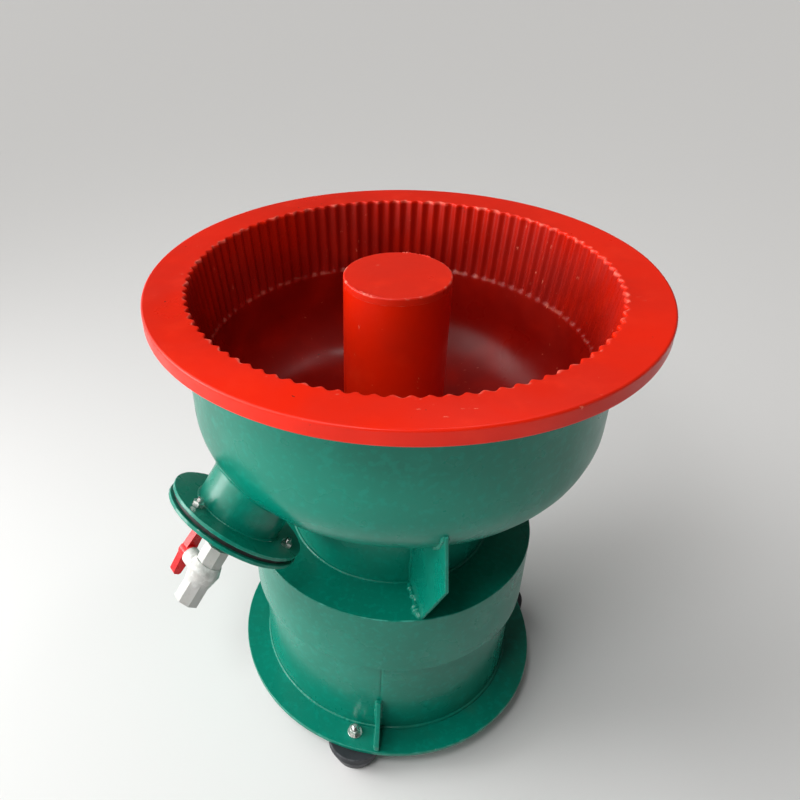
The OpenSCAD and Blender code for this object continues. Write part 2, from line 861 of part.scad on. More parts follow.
module motor_shaft() {
    color(zinc) {
        translate([0, 0, shaft_bottom]) cylinder(r = shaft_r, h = shaft_top - shaft_bottom);
        translate([0, 0, core_z - spider_over])
            cylinder(r = spider_r, h = core_l + 2 * spider_over);
    }
}

module rotor_core() {
    color("#8b9096") translate([0, 0, core_z]) ring(rotor_r, spider_r, core_l);
}

// half-round eccentric weight standing on z = 0, heavy side towards +X
module weight(bore) {
    difference() {
        union() {
            intersection() {
                cylinder(r = weight_r, h = weight_t);
                translate([0, -weight_r, 0]) cube([weight_r, 2 * weight_r, weight_t]);
            }
            cylinder(r = weight_hub_r, h = weight_t);
        }
        translate([0, 0, -over]) cylinder(r = bore, h = weight_t + 2 * over);
        translate([0, 0, weight_t / 2]) rotate([0, -90, 0])
            cylinder(r = screw_r, h = weight_hub_r + over);
    }
}

// clamping screw of a weight, in the hub's light side
module weight_screw(inner) {
    translate([-inner, 0, weight_t / 2]) rotate([0, -90, 0]) {
        cylinder(r = screw_r, h = weight_hub_r - inner + M10[3] / 2);
        translate([0, 0, weight_hub_r - inner]) hex(M10[1], M10[3]);
    }
}

module upper_weight() { color("#5b6268") translate([0, 0, upper_weight_z]) weight(shaft_r); }

module upper_weight_screw() {
    color(zinc) translate([0, 0, upper_weight_z]) weight_screw(shaft_r + run_fit);
}

module lower_weight() {
    color("#5b6268") translate([0, 0, lower_weight_z]) weight(shaft_r + run_fit);
}

module lower_weight_screw() {
    color(zinc) translate([0, 0, lower_weight_z]) weight_screw(shaft_r + 2 * run_fit);
}

// ---------------------------------------------------------------- nodes

rubber_feet();
foot_studs();
foot_washers();
foot_nuts();
base_flange();
base_cylinder();
base_gussets();
spring_ring();
lower_spring_seats();
springs();
cable_gland();
gland_dome();
gland_locknut();
motor_plate();
skirt();
neck_ring();
bowl_gussets();
bowl_shell();
rim_ring();
bowl_lining();
trough_lining();
floor_lining();
post_tube();
post_sleeve();
post_cap();
upper_spring_seats();
discharge_pipe();
port_flange();
port_gasket();
blind_plate();
port_bolts();
port_nuts();
drain_plug();
valve_nipple();
valve_body();
valve_seats();
stem_seal();
motor_housing();
motor_flange();
stator();
upper_end_bell();
lower_end_bell();
upper_bearing();
lower_bearing();
motor_bolts();
motor_nuts();
terminal_box();
terminal_lid();
motor_shaft();
rotor_core();
upper_weight();
upper_weight_screw();
lower_weight();
lower_weight_screw();
valve_ball();
valve_stem();
valve_handle();
handle_screw();
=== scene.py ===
"""Looks of the vibratory rock tumbler: camera, light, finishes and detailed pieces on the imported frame.

Lengths are in metres. Z is up, the front is -Y, and the machine's axis is X = Y = 0.
Azimuths are in degrees, counted from the front towards +X, as in the CAD source.
An outline is a closed list of (radius, height, edge) points, where edge is 1 on a rounded edge.
"""

import json
import math
import random

import bmesh
import bpy
from mathutils import Matrix, Vector, noise


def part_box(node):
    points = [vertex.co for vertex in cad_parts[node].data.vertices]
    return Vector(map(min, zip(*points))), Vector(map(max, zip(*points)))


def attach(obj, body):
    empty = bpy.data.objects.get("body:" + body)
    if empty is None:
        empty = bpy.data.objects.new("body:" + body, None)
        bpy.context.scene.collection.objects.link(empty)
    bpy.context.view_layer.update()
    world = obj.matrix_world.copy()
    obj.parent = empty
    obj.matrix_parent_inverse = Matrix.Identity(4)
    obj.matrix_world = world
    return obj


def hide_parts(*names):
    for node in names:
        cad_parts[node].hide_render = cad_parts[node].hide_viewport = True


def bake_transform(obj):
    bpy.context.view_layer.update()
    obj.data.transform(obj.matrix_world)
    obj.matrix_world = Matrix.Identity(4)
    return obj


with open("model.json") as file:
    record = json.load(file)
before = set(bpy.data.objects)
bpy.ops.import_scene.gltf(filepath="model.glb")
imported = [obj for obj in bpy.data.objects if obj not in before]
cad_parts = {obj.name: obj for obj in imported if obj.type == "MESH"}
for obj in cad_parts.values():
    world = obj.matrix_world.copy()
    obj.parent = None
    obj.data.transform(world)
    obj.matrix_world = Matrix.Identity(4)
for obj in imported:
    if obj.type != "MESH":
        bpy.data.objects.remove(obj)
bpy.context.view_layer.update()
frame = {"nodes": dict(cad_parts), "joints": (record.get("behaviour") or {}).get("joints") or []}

MM = 0.001
UP = Vector((0, 0, 1))


# ---- places, read from the frame

def top_of(node):
    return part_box(node)[1].z


def bottom_of(node):
    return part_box(node)[0].z


def radius_of(node):
    """Radius of a round node on the machine's axis."""
    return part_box(node)[1].x


def middle_of(node):
    low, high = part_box(node)
    return (low + high) / 2


def polar(azimuth, radius, z=0.0):
    """The point at an azimuth, distance and height."""
    a = math.radians(azimuth)
    return Vector((radius * math.sin(a), -radius * math.cos(a), z))


def frame_at(origin, z_axis, x_axis):
    """Matrix of a local frame with its Z along z_axis and its X as near x_axis as it can be."""
    z = z_axis.normalized()
    y = z.cross(x_axis).normalized()
    x = y.cross(z)
    return Matrix.Translation(origin) @ Matrix((x, y, z)).transposed().to_4x4()


def raised(z):
    return Matrix.Translation((0, 0, z))


def turned(degrees):
    return Matrix.Rotation(math.radians(degrees), 4, "Z")


def standing(azimuth, radius, z):
    """Matrix of an upright local frame whose X points away from the machine's axis."""
    return frame_at(polar(azimuth, radius, z), UP, polar(azimuth, 1))


# A small turn that keeps the corners of a round cutter off those of the ring it cuts.
ASKEW = turned(3.3)

joints = {joint["name"]: joint for joint in frame["joints"]}
ball_centre = Vector(joints["valve_turn"]["pos_m"])
stem_axis = Vector(joints["valve_turn"]["axis"])
port_axis = (ball_centre - middle_of("port_flange")).normalized()

RIM_R = radius_of("bowl_lining")
TOP = top_of("bowl_lining")
RIM_Z = bottom_of("rim_ring")
SHELL_R = radius_of("bowl_shell")
BOWL_Z = bottom_of("bowl_shell")
NECK_R = radius_of("neck_ring")
PLATE_R = radius_of("motor_plate")
PLATE_Z = bottom_of("motor_plate")
NECK_Z = top_of("motor_plate")
BASE_R = radius_of("base_cylinder")
FLANGE_R = radius_of("base_flange")
FLANGE_Z = top_of("base_flange")
POST_R = radius_of("post_cap")
SEAT_Z = bottom_of("springs")
SPRING_TOP = top_of("springs")

SHELL_T, SHELL_CORNER = 4 * MM, 115 * MM
RIM_RING_W, RIM_RING_T = 37 * MM, 5 * MM
WALL_T, BASE_T, CAP_T, FLOOR_T = 4 * MM, 5 * MM, 12 * MM, 12 * MM
TROUGH_R, TROUGH_CORNER, POST_FILLET = 299.2 * MM, 95 * MM, 36 * MM
MOUTH_R, LEDGE_Z = 313.5 * MM, TOP - 126 * MM
FLUTES, FLUTE_DEPTH = 96, 5.5 * MM

FOOT_AZ, FOOT_R, FOOT_H = -10.2, 257 * MM, bottom_of("base_flange")
BASE_GUSSET_AZ, BASE_SEAM_AZ, BASE_GUSSET_T = -1.1, -0.5, 8 * MM
BOWL_GUSSET_AZ, BOWL_GUSSET_T, BOWL_GUSSET_TOP = 13.4, 5 * MM, 84 * MM
SPRINGS, SPRING_AZ, SPRING_R = 6, 30, 203 * MM
SPRING_D, WIRE_D, SPRING_TURNS = 39 * MM, 6 * MM, 7
MOTOR_BOLTS, MOTOR_BOLT_R = 6, 112 * MM
M12_R, M12_HOLE_R, M12_NUT_BORE, M12_PITCH = 6 * MM, 6.5 * MM, 5.6 * MM, 1.75 * MM

PORT_FLANGE_R, PORT_PIPE_R, PORT_BORE_R = 111 * MM, 70 * MM, 65 * MM
PORT_FLANGE_T, GASKET_T, PORT_REACH = 6 * MM, 8 * MM, 110 * MM
PORT_BOLT_R, PORT_BOLT_AZ = 88 * MM, 56
port_frame = frame_at(middle_of("port_flange") - port_axis * PORT_FLANGE_T / 2, port_axis,
                      (-stem_axis).cross(port_axis))
stem_frame = frame_at(ball_centre, stem_axis, port_frame.col[0].to_3d())


# ---- camera, floor and light

def add_camera():
    """The camera stands in front of the machine and looks down into the bowl."""
    pitch, yaw, roll = (math.radians(a) for a in (32.88, -8.96, -2.74))
    forward = Vector((math.sin(yaw) * math.cos(pitch), math.cos(yaw) * math.cos(pitch), -math.sin(pitch)))
    right = forward.cross(UP).normalized()
    up = right.cross(forward)
    side = right * math.cos(roll) + up * math.sin(roll)
    top = up * math.cos(roll) - right * math.sin(roll)
    data = bpy.data.cameras.new("camera")
    data.sensor_width, data.lens = 36, 32.05
    data.shift_x, data.shift_y = 0.125, -0.0375
    camera = bpy.data.objects.new("camera", data)
    camera.matrix_world = (Matrix.Translation((0, -0.979, TOP + 0.463))
                           @ Matrix((side, top, -forward)).transposed().to_4x4())
    bpy.context.scene.collection.objects.link(camera)
    bpy.context.scene.camera = camera


def add_floor():
    mesh = bpy.data.meshes.new("floor")
    half = 40
    corners = [(-half, -half, 0), (half, -half, 0), (half, half, 0), (-half, half, 0)]
    mesh.from_pydata(corners, [], [(0, 1, 2, 3)])
    floor = bpy.data.objects.new("floor", mesh)
    bpy.context.scene.collection.objects.link(floor)
    look = bpy.data.materials.new("floor")
    look.use_nodes = True
    shader = look.node_tree.nodes["Principled BSDF"]
    shader.inputs["Base Color"].default_value = (0.8, 0.8, 0.8, 1)
    shader.inputs["Roughness"].default_value = 0.9
    mesh.materials.append(look)


def add_area_light(name, place, target, size, power):
    data = bpy.data.lights.new(name, "AREA")
    data.shape, data.size, data.energy = "DISK", size, power
    light = bpy.data.objects.new(name, data)
    light.location = place
    light.rotation_euler = (Vector(target) - Vector(place)).to_track_quat("-Z", "Y").to_euler()
    bpy.context.scene.collection.objects.link(light)


def add_studio():
    """A dim dome that is bright low on the left, a soft box there, and a light high in front and behind."""
    scene = bpy.context.scene
    scene.view_settings.view_transform = "Standard"
    world = bpy.data.worlds.new("studio")
    world.use_nodes = True
    tree = world.node_tree
    background = tree.nodes["Background"]
    background.inputs["Color"].default_value = (1.0, 0.985, 0.96, 1)
    towards = tree.nodes.new("ShaderNodeVectorMath")
    towards.operation = "DOT_PRODUCT"
    towards.inputs[1].default_value = Vector((-0.95, -0.1, 0.28)).normalized()
    tree.links.new(tree.nodes.new("ShaderNodeTexCoord").outputs["Generated"], towards.inputs[0])
    glow = tree.nodes.new("ShaderNodeMapRange")
    glow.interpolation_type = "SMOOTHSTEP"
    start, full, dim, bright = 0.4, 1.0, 0.1, 3.4
    for socket, number in zip(glow.inputs[1:], (start, full, dim, bright)):
        socket.default_value = number
    tree.links.new(towards.outputs["Value"], glow.inputs[0])
    tree.links.new(glow.outputs[0], background.inputs["Strength"])
    scene.world = world
    add_area_light("key", (-2.2, -0.45, 1.1), (0, 0, 0.55), 1.0, 24)
    add_area_light("high", (-0.36, -1.03, 2.0), (0, -0.25, 0.4), 0.4, 9)
    add_area_light("top", (0.35, 0.55, 2.2), (0.05, 0.05, 0.6), 0.35, 3)


# ---- finishes

class Finish:
    """One procedural material: a Principled shader with noise, bump and wear in the object's own space."""

    def __init__(self, name, colour, roughness, **sockets):
        self.material = bpy.data.materials.new("finish_" + name)
        self.material.use_nodes = True
        self.tree = self.material.node_tree
        self.shader = self.tree.nodes["Principled BSDF"]
        self.shader.inputs["Base Color"].default_value = (*colour, 1)
        self.shader.inputs["Roughness"].default_value = roughness
        for socket, value in sockets.items():
            self.shader.inputs[socket.replace("_", " ")].default_value = value
        self.space = self.tree.nodes.new("ShaderNodeTexCoord").outputs["Object"]
        self.colour = self.shader.inputs["Base Color"].default_value[:]
        self.last_bump = None

    def node(self, kind, **settings):
        made = self.tree.nodes.new("ShaderNode" + kind)
        for key, value in settings.items():
            setattr(made, key, value)
        return made

    def plug(self, socket, value):
        if isinstance(value, bpy.types.NodeSocket):
            self.tree.links.new(value, socket)
        else:
            socket.default_value = value

    def noise(self, size, detail=3.0, stretch=(1, 1, 1), rough=0.5):
        """Noise from 0 to 1 whose features are about size across."""
        mapping = self.node("Mapping")
        self.plug(mapping.inputs["Vector"], self.space)
        mapping.inputs["Scale"].default_value = stretch
        texture = self.node("TexNoise")
        self.plug(texture.inputs["Vector"], mapping.outputs[0])
        texture.inputs["Scale"].default_value = 0.5 / size
        texture.inputs["Detail"].default_value = detail
        texture.inputs["Roughness"].default_value = rough
        return texture.outputs[0]

    def steps(self, value, low, high, bottom=0.0, top=1.0):
        """value, stretched so that low becomes bottom and high becomes top, and held there."""
        made = self.node("MapRange", interpolation_type="SMOOTHSTEP")
        for socket, number in zip(made.inputs, (value, low, high, bottom, top)):
            self.plug(socket, number)
        return made.outputs[0]

    def times(self, a, b):
        made = self.node("Math", operation="MULTIPLY")
        self.plug(made.inputs[0], a)
        self.plug(made.inputs[1], b)
        return made.outputs[0]

    def mark(self, name):
        """A mark of the pieces, 0 to 1: edge on rounded edges, and a second mark for dried mud on the shell
        and for painted shade in the lining.
        """
        return self.node("Attribute", attribute_name=name).outputs["Fac"]

    def tint(self, amount, colour):
        """Mixes a colour over what is there, by an amount from 0 to 1."""
        made = self.node("Mix", data_type="RGBA")
        self.plug(made.inputs["Factor"], amount)
        self.plug(made.inputs[6], self.colour)
        made.inputs[7].default_value = (*colour, 1)
        self.colour = made.outputs[2]
        self.plug(self.shader.inputs["Base Color"], self.colour)

    def rough(self, value, low, high):
        """Roughness from low to high as value runs from 0.3 to 0.7."""
        self.plug(self.shader.inputs["Roughness"], self.steps(value, 0.3, 0.7, low, high))

    def bump(self, value, depth, strength=1.0):
        """Adds relief of this depth on top of any bump that is there."""
        made = self.node("Bump")
        made.inputs["Strength"].default_value = strength
        made.inputs["Distance"].default_value = depth
        self.plug(made.inputs["Height"], value)
        if self.last_bump:
            self.plug(made.inputs["Normal"], self.last_bump)
        self.last_bump = made.outputs[0]
        self.plug(self.shader.inputs["Normal"], self.last_bump)


def painted_green():
    """Sprayed enamel: orange peel, shade changes, faint tan patches, dried mud, chips on edges, and paler
    edges that are partly thin paint and partly a painted highlight.
    """
    f = Finish("painted_green", (0.0, 0.19, 0.13), 0.3, Specular_IOR_Level=0.3, Coat_Weight=0.06,
               Coat_Roughness=0.08)
    f.tint(f.steps(f.noise(90 * MM, 4), 0.35, 0.75), (0.0, 0.152, 0.102))
    f.tint(f.steps(f.noise(35 * MM, 5), 0.55, 0.8, 0, 0.4), (0.0, 0.23, 0.162))
    # Faint tan patches, large and few.
    f.tint(f.steps(f.noise(130 * MM, 4), 0.58, 0.72, 0, 0.2), (0.1, 0.16, 0.075))
    f.tint(f.steps(f.noise(5 * MM, 3), 0.5, 0.68, 0, 0.35), (0.0, 0.27, 0.195))
    # Paler paint on rounded edges: partly thin paint, partly a painted highlight along the edges.
    thin_paint_and_highlight = f.times(f.mark("edge"), f.steps(f.noise(14 * MM, 5), 0.45, 0.7))
    f.tint(f.times(thin_paint_and_highlight, 0.5), (0.08, 0.46, 0.37))
    f.tint(f.times(f.mark("edge"), f.steps(f.noise(5 * MM, 3), 0.7, 0.73)), (0.3, 0.42, 0.38))
    f.tint(f.steps(f.noise(4 * MM, 2), 0.8, 0.82, 0, 0.5), (0.2, 0.55, 0.47))
    f.tint(f.steps(f.times(f.mark("stain_and_shade"), f.noise(9 * MM, 5)), 0.4, 0.5, 0, 0.85), (0.2, 0.12, 0.045))
    f.rough(f.noise(45 * MM, 4), 0.24, 0.34)
    f.bump(f.noise(110 * MM, 2), 1.2 * MM, 0.5)
    f.bump(f.noise(3.6 * MM, 2), 0.22 * MM, 0.6)
    f.bump(f.noise(1.2 * MM, 2), 0.06 * MM, 0.7)
    return f.material


def cast_polyurethane(name, colour):
    """Poured red polyurethane: satin and blotchy, with painted shade in the bowl, pale scuffs, paler edges
    that are partly a painted highlight, and dirt specks.
    """
    f = Finish(name, colour, 0.34, Specular_IOR_Level=0.28, Subsurface_Weight=0.04,
               Subsurface_Radius=(1.0, 0.15, 0.08), Subsurface_Scale=4 * MM)
    f.tint(f.steps(f.noise(120 * MM, 4), 0.35, 0.7), tuple(c * 0.8 for c in colour))
    f.tint(f.steps(f.noise(26 * MM, 6), 0.52, 0.78, 0, 0.4), (0.86, 0.03, 0.006))
    # Painted shade: the red is darkened where the lining's mark is set, inside the bowl and towards the bottom
    # of the rim's outer face.
    painted_shade = f.times(f.mark("stain_and_shade"), f.steps(f.noise(50 * MM, 4), 0.2, 0.6, 0.7, 0.95))
    f.tint(painted_shade, (0.2, 0.002, 0.0006))
    scuffs = f.times(f.steps(f.noise(7 * MM, 6, (1, 2.6, 1), 0.65), 0.66, 0.7),
                     f.steps(f.noise(60 * MM, 2), 0.5, 0.6))
    f.tint(f.times(scuffs, 0.6), (0.9, 0.25, 0.16))
    # Paler edges: partly dust and wear, partly a painted highlight where the flutes run out at the ledge.
    dust_and_highlight = f.times(f.mark("edge"), f.steps(f.noise(9 * MM, 5), 0.48, 0.66))
    f.tint(f.times(dust_and_highlight, 0.6), (0.85, 0.3, 0.22))
    f.tint(f.steps(f.noise(8 * MM, 4, (1, 1, 1), 0.7), 0.7, 0.73, 0, 0.85), (0.05, 0.02, 0.012))
    f.rough(f.noise(60 * MM, 5), 0.26, 0.46)
    f.bump(f.noise(60 * MM, 3), 0.9 * MM, 0.5)
    f.bump(f.noise(7 * MM, 4), 0.16 * MM, 0.6)
    f.bump(f.noise(1.3 * MM, 3), 0.05 * MM, 0.5)
    return f.material


def moulded(name, colour, shade, roughness, grain=0.9 * MM, depth=0.04 * MM, **sockets):
    """Moulded plastic or rubber: fine grain, soft cloudiness and paler edges."""
    f = Finish(name, colour, roughness, **sockets)
    f.tint(f.steps(f.noise(25 * MM, 5), 0.35, 0.7), shade)
    pale = tuple(min(1, c * 1.5 + 0.05) for c in colour)
    f.tint(f.times(f.times(f.mark("edge"), f.steps(f.noise(5 * MM, 4), 0.4, 0.65)), 0.6), pale)
    f.rough(f.noise(12 * MM, 4), roughness * 0.8, roughness * 1.25)
    f.bump(f.noise(14 * MM, 3), 0.2 * MM, 0.5)
    f.bump(f.noise(grain, 3), depth, 0.7)
    return f.material


def metal(name, colour, shade, roughness, brush=(1, 1, 1), depth=0.03 * MM):
    """Bare or plated metal: cloudy tone, tool marks along the brush direction and bright edges."""
    f = Finish(name, colour, roughness, Metallic=1.0)
    f.tint(f.steps(f.noise(9 * MM, 6), 0.35, 0.7), shade)
    f.tint(f.times(f.mark("edge"), 0.5), tuple(min(1, c * 1.35) for c in colour))
    f.rough(f.noise(5 * MM, 5), roughness * 0.7, roughness * 1.4)
    f.bump(f.noise(1.6 * MM, 4, brush), depth, 0.6)
    return f.material


def rough_casting(name, colour, shade, roughness, grain=2.2 * MM, metallic=0.0):
    """Painted or raw sand casting: grainy skin with darker hollows."""
    f = Finish(name, colour, roughness, Metallic=metallic)
    f.tint(f.steps(f.noise(18 * MM, 6), 0.4, 0.7), shade)
    worn = f.times(f.mark("edge"), f.steps(f.noise(6 * MM, 4), 0.45, 0.6))
    f.tint(worn, tuple(min(1, c * 2 + 0.04) for c in colour))
    f.rough(f.noise(8 * MM, 4), roughness * 0.8, roughness * 1.2)
    f.bump(f.noise(grain, 5), 0.25 * MM, 0.7)
    return f.material


def windings():
    """Stator: varnished laminations with a fine vertical pitch."""
    f = Finish("stator_windings", (0.32, 0.12, 0.04), 0.45, Metallic=0.6)
    f.tint(f.steps(f.noise(6 * MM, 4, (1, 1, 0.1)), 0.4, 0.6), (0.14, 0.05, 0.02))
    f.rough(f.noise(8 * MM, 4), 0.35, 0.6)
    f.bump(f.noise(1.5 * MM, 2, (0.2, 0.2, 3)), 0.2 * MM, 0.8)
    return f.material


FINISHES = {
    "painted_green": painted_green(),
    "lining_red": cast_polyurethane("lining_red", (0.8, 0.015, 0.0004)),
    "cap_red": cast_polyurethane("cap_red", (0.8, 0.022, 0.006)),
    "foot_rubber": moulded("foot_rubber", (0.022, 0.025, 0.032), (0.012, 0.014, 0.018), 0.55,
                           1.4 * MM, 0.12 * MM),
    "black_rubber": moulded("black_rubber", (0.008, 0.009, 0.009), (0.014, 0.015, 0.015), 0.6,
                            1.2 * MM, 0.1 * MM),
    "zinc_steel": metal("zinc_steel", (0.62, 0.62, 0.6), (0.42, 0.42, 0.4), 0.28),
    "spring_steel": metal("spring_steel", (0.24, 0.25, 0.27), (0.14, 0.145, 0.16), 0.34),
    "black_plastic": moulded("black_plastic", (0.016, 0.016, 0.018), (0.01, 0.01, 0.011), 0.42),
    "white_plastic": moulded("white_plastic", (0.48, 0.48, 0.465), (0.42, 0.42, 0.4), 0.32,
                             Subsurface_Weight=0.05, Subsurface_Scale=2 * MM),
    "valve_inner": moulded("valve_inner", (0.84, 0.84, 0.81), (0.74, 0.74, 0.71), 0.3),
    "handle_red": moulded("handle_red", (0.62, 0.002, 0.004), (0.5, 0.001, 0.003), 0.26,
                          Specular_IOR_Level=0.3),
    "motor_paint": rough_casting("motor_paint", (0.045, 0.075, 0.095), (0.03, 0.052, 0.07), 0.48),
    "stator_windings": windings(),
    "machined_steel": metal("machined_steel", (0.5, 0.5, 0.5), (0.38, 0.38, 0.38), 0.22,
                            (1, 1, 14), 0.02 * MM),
    "core_steel": metal("core_steel", (0.36, 0.36, 0.37), (0.26, 0.26, 0.27), 0.42,
                        (0.3, 0.3, 9), 0.06 * MM),
    "cast_weight": rough_casting("cast_weight", (0.17, 0.175, 0.18), (0.1, 0.1, 0.105), 0.5,
                                 2.6 * MM, 0.7),
}


# ---- making meshes

def add_piece(name, shape, slot, body, nodes=(), place=None, sharp=40, stain_and_shade=None):
    """Adds a closed mesh as a piece: shape is (vertices, faces, edge marks) in its own frame.

    The last argument, called with a point, gives a mark from 0 to 1 there: dried mud on the shell, painted
    shade in the lining.
    """
    verts, faces, marks = shape
    mesh = bpy.data.meshes.new(name)
    mesh.from_pydata(verts, [], faces)
    if place is not None:
        mesh.transform(place)
    mesh.attributes.new("edge", "FLOAT", "POINT").data.foreach_set("value", [float(m) for m in marks])
    if stain_and_shade:
        values = [float(stain_and_shade(v.co)) for v in mesh.vertices]
        mesh.attributes.new("stain_and_shade", "FLOAT", "POINT").data.foreach_set("value", values)
    bm = bmesh.new()
    bm.from_mesh(mesh)
    bmesh.ops.recalc_face_normals(bm, faces=bm.faces)
    bm.to_mesh(mesh)
    bm.free()
    return dress(bpy.data.objects.new(name, mesh), slot, body, nodes, sharp)


def dress(piece, slot, body, nodes=(), sharp=40):
    """Gives a new piece its finish, its shading and the body it rides on, and hides the CAD nodes it stands
    for.
    """
    bpy.context.scene.collection.objects.link(piece)
    piece.data.materials.clear()
    piece.data.materials.append(FINISHES[slot])
    piece.data.shade_smooth()
    piece.data.set_sharp_from_angle(angle=math.radians(sharp))
    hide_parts(*nodes)
    if body:
        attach(piece, body)
    return piece


def cut(piece, *cutters):
    """Takes the cutters, which are shapes in the machine's frame, out of a piece's mesh."""
    for verts, faces, place in cutters:
        mesh = bpy.data.meshes.new("cutter")
        mesh.from_pydata([place @ Vector(v) for v in verts], [], faces)
        tool = bpy.data.objects.new("cutter", mesh)
        bpy.context.scene.collection.objects.link(tool)
        modifier = piece.modifiers.new("cut", "BOOLEAN")
        modifier.operation, modifier.solver, modifier.object = "DIFFERENCE", "EXACT", tool
        apply_modifiers(piece)
        bpy.data.objects.remove(tool)


def apply_modifiers(piece):
    """Replaces a piece's mesh with what its modifiers make of it."""
    shown = piece.evaluated_get(bpy.context.evaluated_depsgraph_get())
    mesh = bpy.data.meshes.new_from_object(shown, preserve_all_data_layers=True,
                                           depsgraph=bpy.context.evaluated_depsgraph_get())
    piece.modifiers.clear()
    piece.data = mesh


def softened(node, slot, body, width, name, picked=lambda edge: True):
    """Puts a copy of a CAD node in its place, with its edges rounded, or those of them that are picked."""
    mesh = frame["nodes"][node].data.copy()
    bm = bmesh.new()
    bm.from_mesh(mesh)
    bmesh.ops.remove_doubles(bm, verts=bm.verts, dist=0.1 * MM)
    bmesh.ops.dissolve_limit(bm, angle_limit=math.radians(0.3), verts=bm.verts, edges=bm.edges)
    edges = [e for e in bm.edges if len(e.link_faces) == 2 and e.calc_face_angle() > 0.5 and picked(e)]
    bmesh.ops.bevel(bm, geom=edges, offset=width, segments=2, profile=0.6, affect="EDGES",
                    clamp_overlap=True)
    mark = bm.verts.layers.float.new("edge")
    strip = width * 60 * MM
    for vert in bm.verts:
        vert[mark] = float(max(f.calc_area() for f in vert.link_faces) < strip)
    bm.to_mesh(mesh)
    bm.free()
    piece = bpy.data.objects.new(name, mesh)
    dress(piece, slot, body, (node,), 50)
    piece.modifiers.new("normals", "WEIGHTED_NORMAL").keep_sharp = True
    apply_modifiers(piece)


def rounded(corners, steps=3):
    """Outline through corners (radius, height) or (radius, height, rounding).

    A point on each side of a rounding holds the flats.
    """
    points = []
    for i, corner in enumerate(corners):
        here = Vector(corner[:2])
        if len(corner) < 3:
            points.append((*here, 0))
            continue
        before = Vector(corners[i - 1][:2]) - here
        after = Vector(corners[(i + 1) % len(corners)][:2]) - here
        half = before.angle(after) / 2
        reach = min(corner[2] / math.tan(half), 0.45 * before.length, 0.45 * after.length)
        hold = min(reach * 0.2, 1 * MM)
        b, a = before.normalized(), after.normalized()
        centre = here + (b + a).normalized() * reach / math.cos(half)
        start = here + b * reach - centre
        turn = start.angle_signed(here + a * reach - centre)
        points.append((*(here + b * (reach + hold)), 0))
        for k in range(steps + 1):
            arm = start.copy()
            arm.rotate(Matrix.Rotation(-turn * k / steps, 2))
            points.append((*(centre + arm), 1))
        points.append((*(here + a * (reach + hold)), 0))
    return points


def lathe(outline, steps=192, warp=None):
    """Shape of an outline turned about Z. warp(radius, height, angle) may move its points."""
    verts, faces, marks, rings = [], [], [], []
    for r, z, edge in outline:
        count = 1 if r < 1e-7 else steps
        rings.append(range(len(verts), len(verts) + count))
        for k in range(count):
            a = math.tau * k / steps
            wr, wz = warp(r, z, a) if warp and count > 1 else (r, z)
            verts.append((wr * math.cos(a), wr * math.sin(a), wz))
            marks.append(edge)
    for ring, after in zip(rings, rings[1:] + rings[:1]):
        if len(ring) + len(after) == 2:
            continue
        for k in range(steps):
            j = (k + 1) % steps
            quad = (ring[k % len(ring)], after[k % len(after)],
                    after[j % len(after)], ring[j % len(ring)])
            faces.append(tuple(dict.fromkeys(quad)))
    return verts, faces, marks


def tube(r_out, r_in, z0, z1, rounding=1 * MM, steps=192, warp=None):
    """Ring or washer between two heights, with rounded edges."""
    corners = [(r_in, z0), (r_out, z0), (r_out, z1), (r_in, z1)]
    return lathe(rounded([(*c, rounding) for c in corners]), steps, warp)


def rod_cutter(radius, z0, z1, place, steps=96):
    """A cutter for cut(): a round rod between two heights of its own frame."""
    verts, faces, _ = lathe([(0, z0, 0), (radius, z0, 0), (radius, z1, 0), (0, z1, 0)], steps)
    return verts, faces, place


def sweep(path, up, width, height, sides=8, closed=True, size=None):
    """Bar along a path, width to its sides and height along up. size(i) scales the section at point i."""
    verts, faces = [], []
    count = len(path)
    for i, point in enumerate(path):
        before = path[i - 1] if closed or i else point
        after = path[(i + 1) % count] if closed or i < count - 1 else point
        along = (after - before).normalized()
        lift = (up - along * up.dot(along)).normalized()
        side = along.cross(lift)
        scale = size(i) if size else 1
        for j in range(sides):
            b = math.tau * j / sides
            verts.append(point + (side * width * math.cos(b) + lift * height * math.sin(b)) * scale)
    for i in range(count if closed else count - 1):
        for j in range(sides):
            k = (j + 1) % sides
            here, there = i * sides, (i + 1) % count * sides
            faces.append((here + j, here + k, there + k, there + j))
    if not closed:
        faces += [tuple(range(sides)), tuple(range(len(verts) - sides, len(verts)))]
    return verts, faces, [0] * len(verts)


def hexagon(width, height, bore=0.0):
    """Nut, or a bolt's head where bore is 0, standing on z = 0 with chamfered corners."""
    face = 0.94 * width / 2
    chamfer = 0.06 * width

    def warp(r, z, a):
        if r < width:
            return r, z
        reach = width / 2 / math.cos(a % math.radians(60) - math.radians(30))
        drop = (reach - face) * math.tan(math.radians(30))
        return reach, (drop if z < height / 2 else height - drop)

    outer = [(face, 0, 0), (width, 0, 1), (width, height, 1), (face, height, 0)]
    if bore:
        outline = [(bore, chamfer, 0), (bore + chamfer, 0, 1), *outer, (bore + chamfer, height, 1),
                   (bore, height - chamfer, 0)]
    else:
        outline = [(0, 0, 0), *outer, (0, height, 0)]
    return lathe(outline, 96, warp)


def threaded_rod(radius, z0, z1, pitch, steps=20):
    """Rod with a screw thread and chamfered ends."""
    depth = 0.5 * pitch
    rows_in_turn = 6
    count = round((z1 - z0) / pitch * rows_in_turn)

    def warp(r, z, a):
        crest = abs(2 * ((z / pitch - a / math.tau) % 1) - 1)
        end = min(z - z0, z1 - z) + 0.6 * radius
        return min(r - depth * (1 - crest), end, radius), z

    wall = [(radius, z0 + (z1 - z0) * i / count, 0) for i in range(count + 1)]
    return lathe([(0, z0, 0), *wall, (0, z1, 0)], steps, warp)


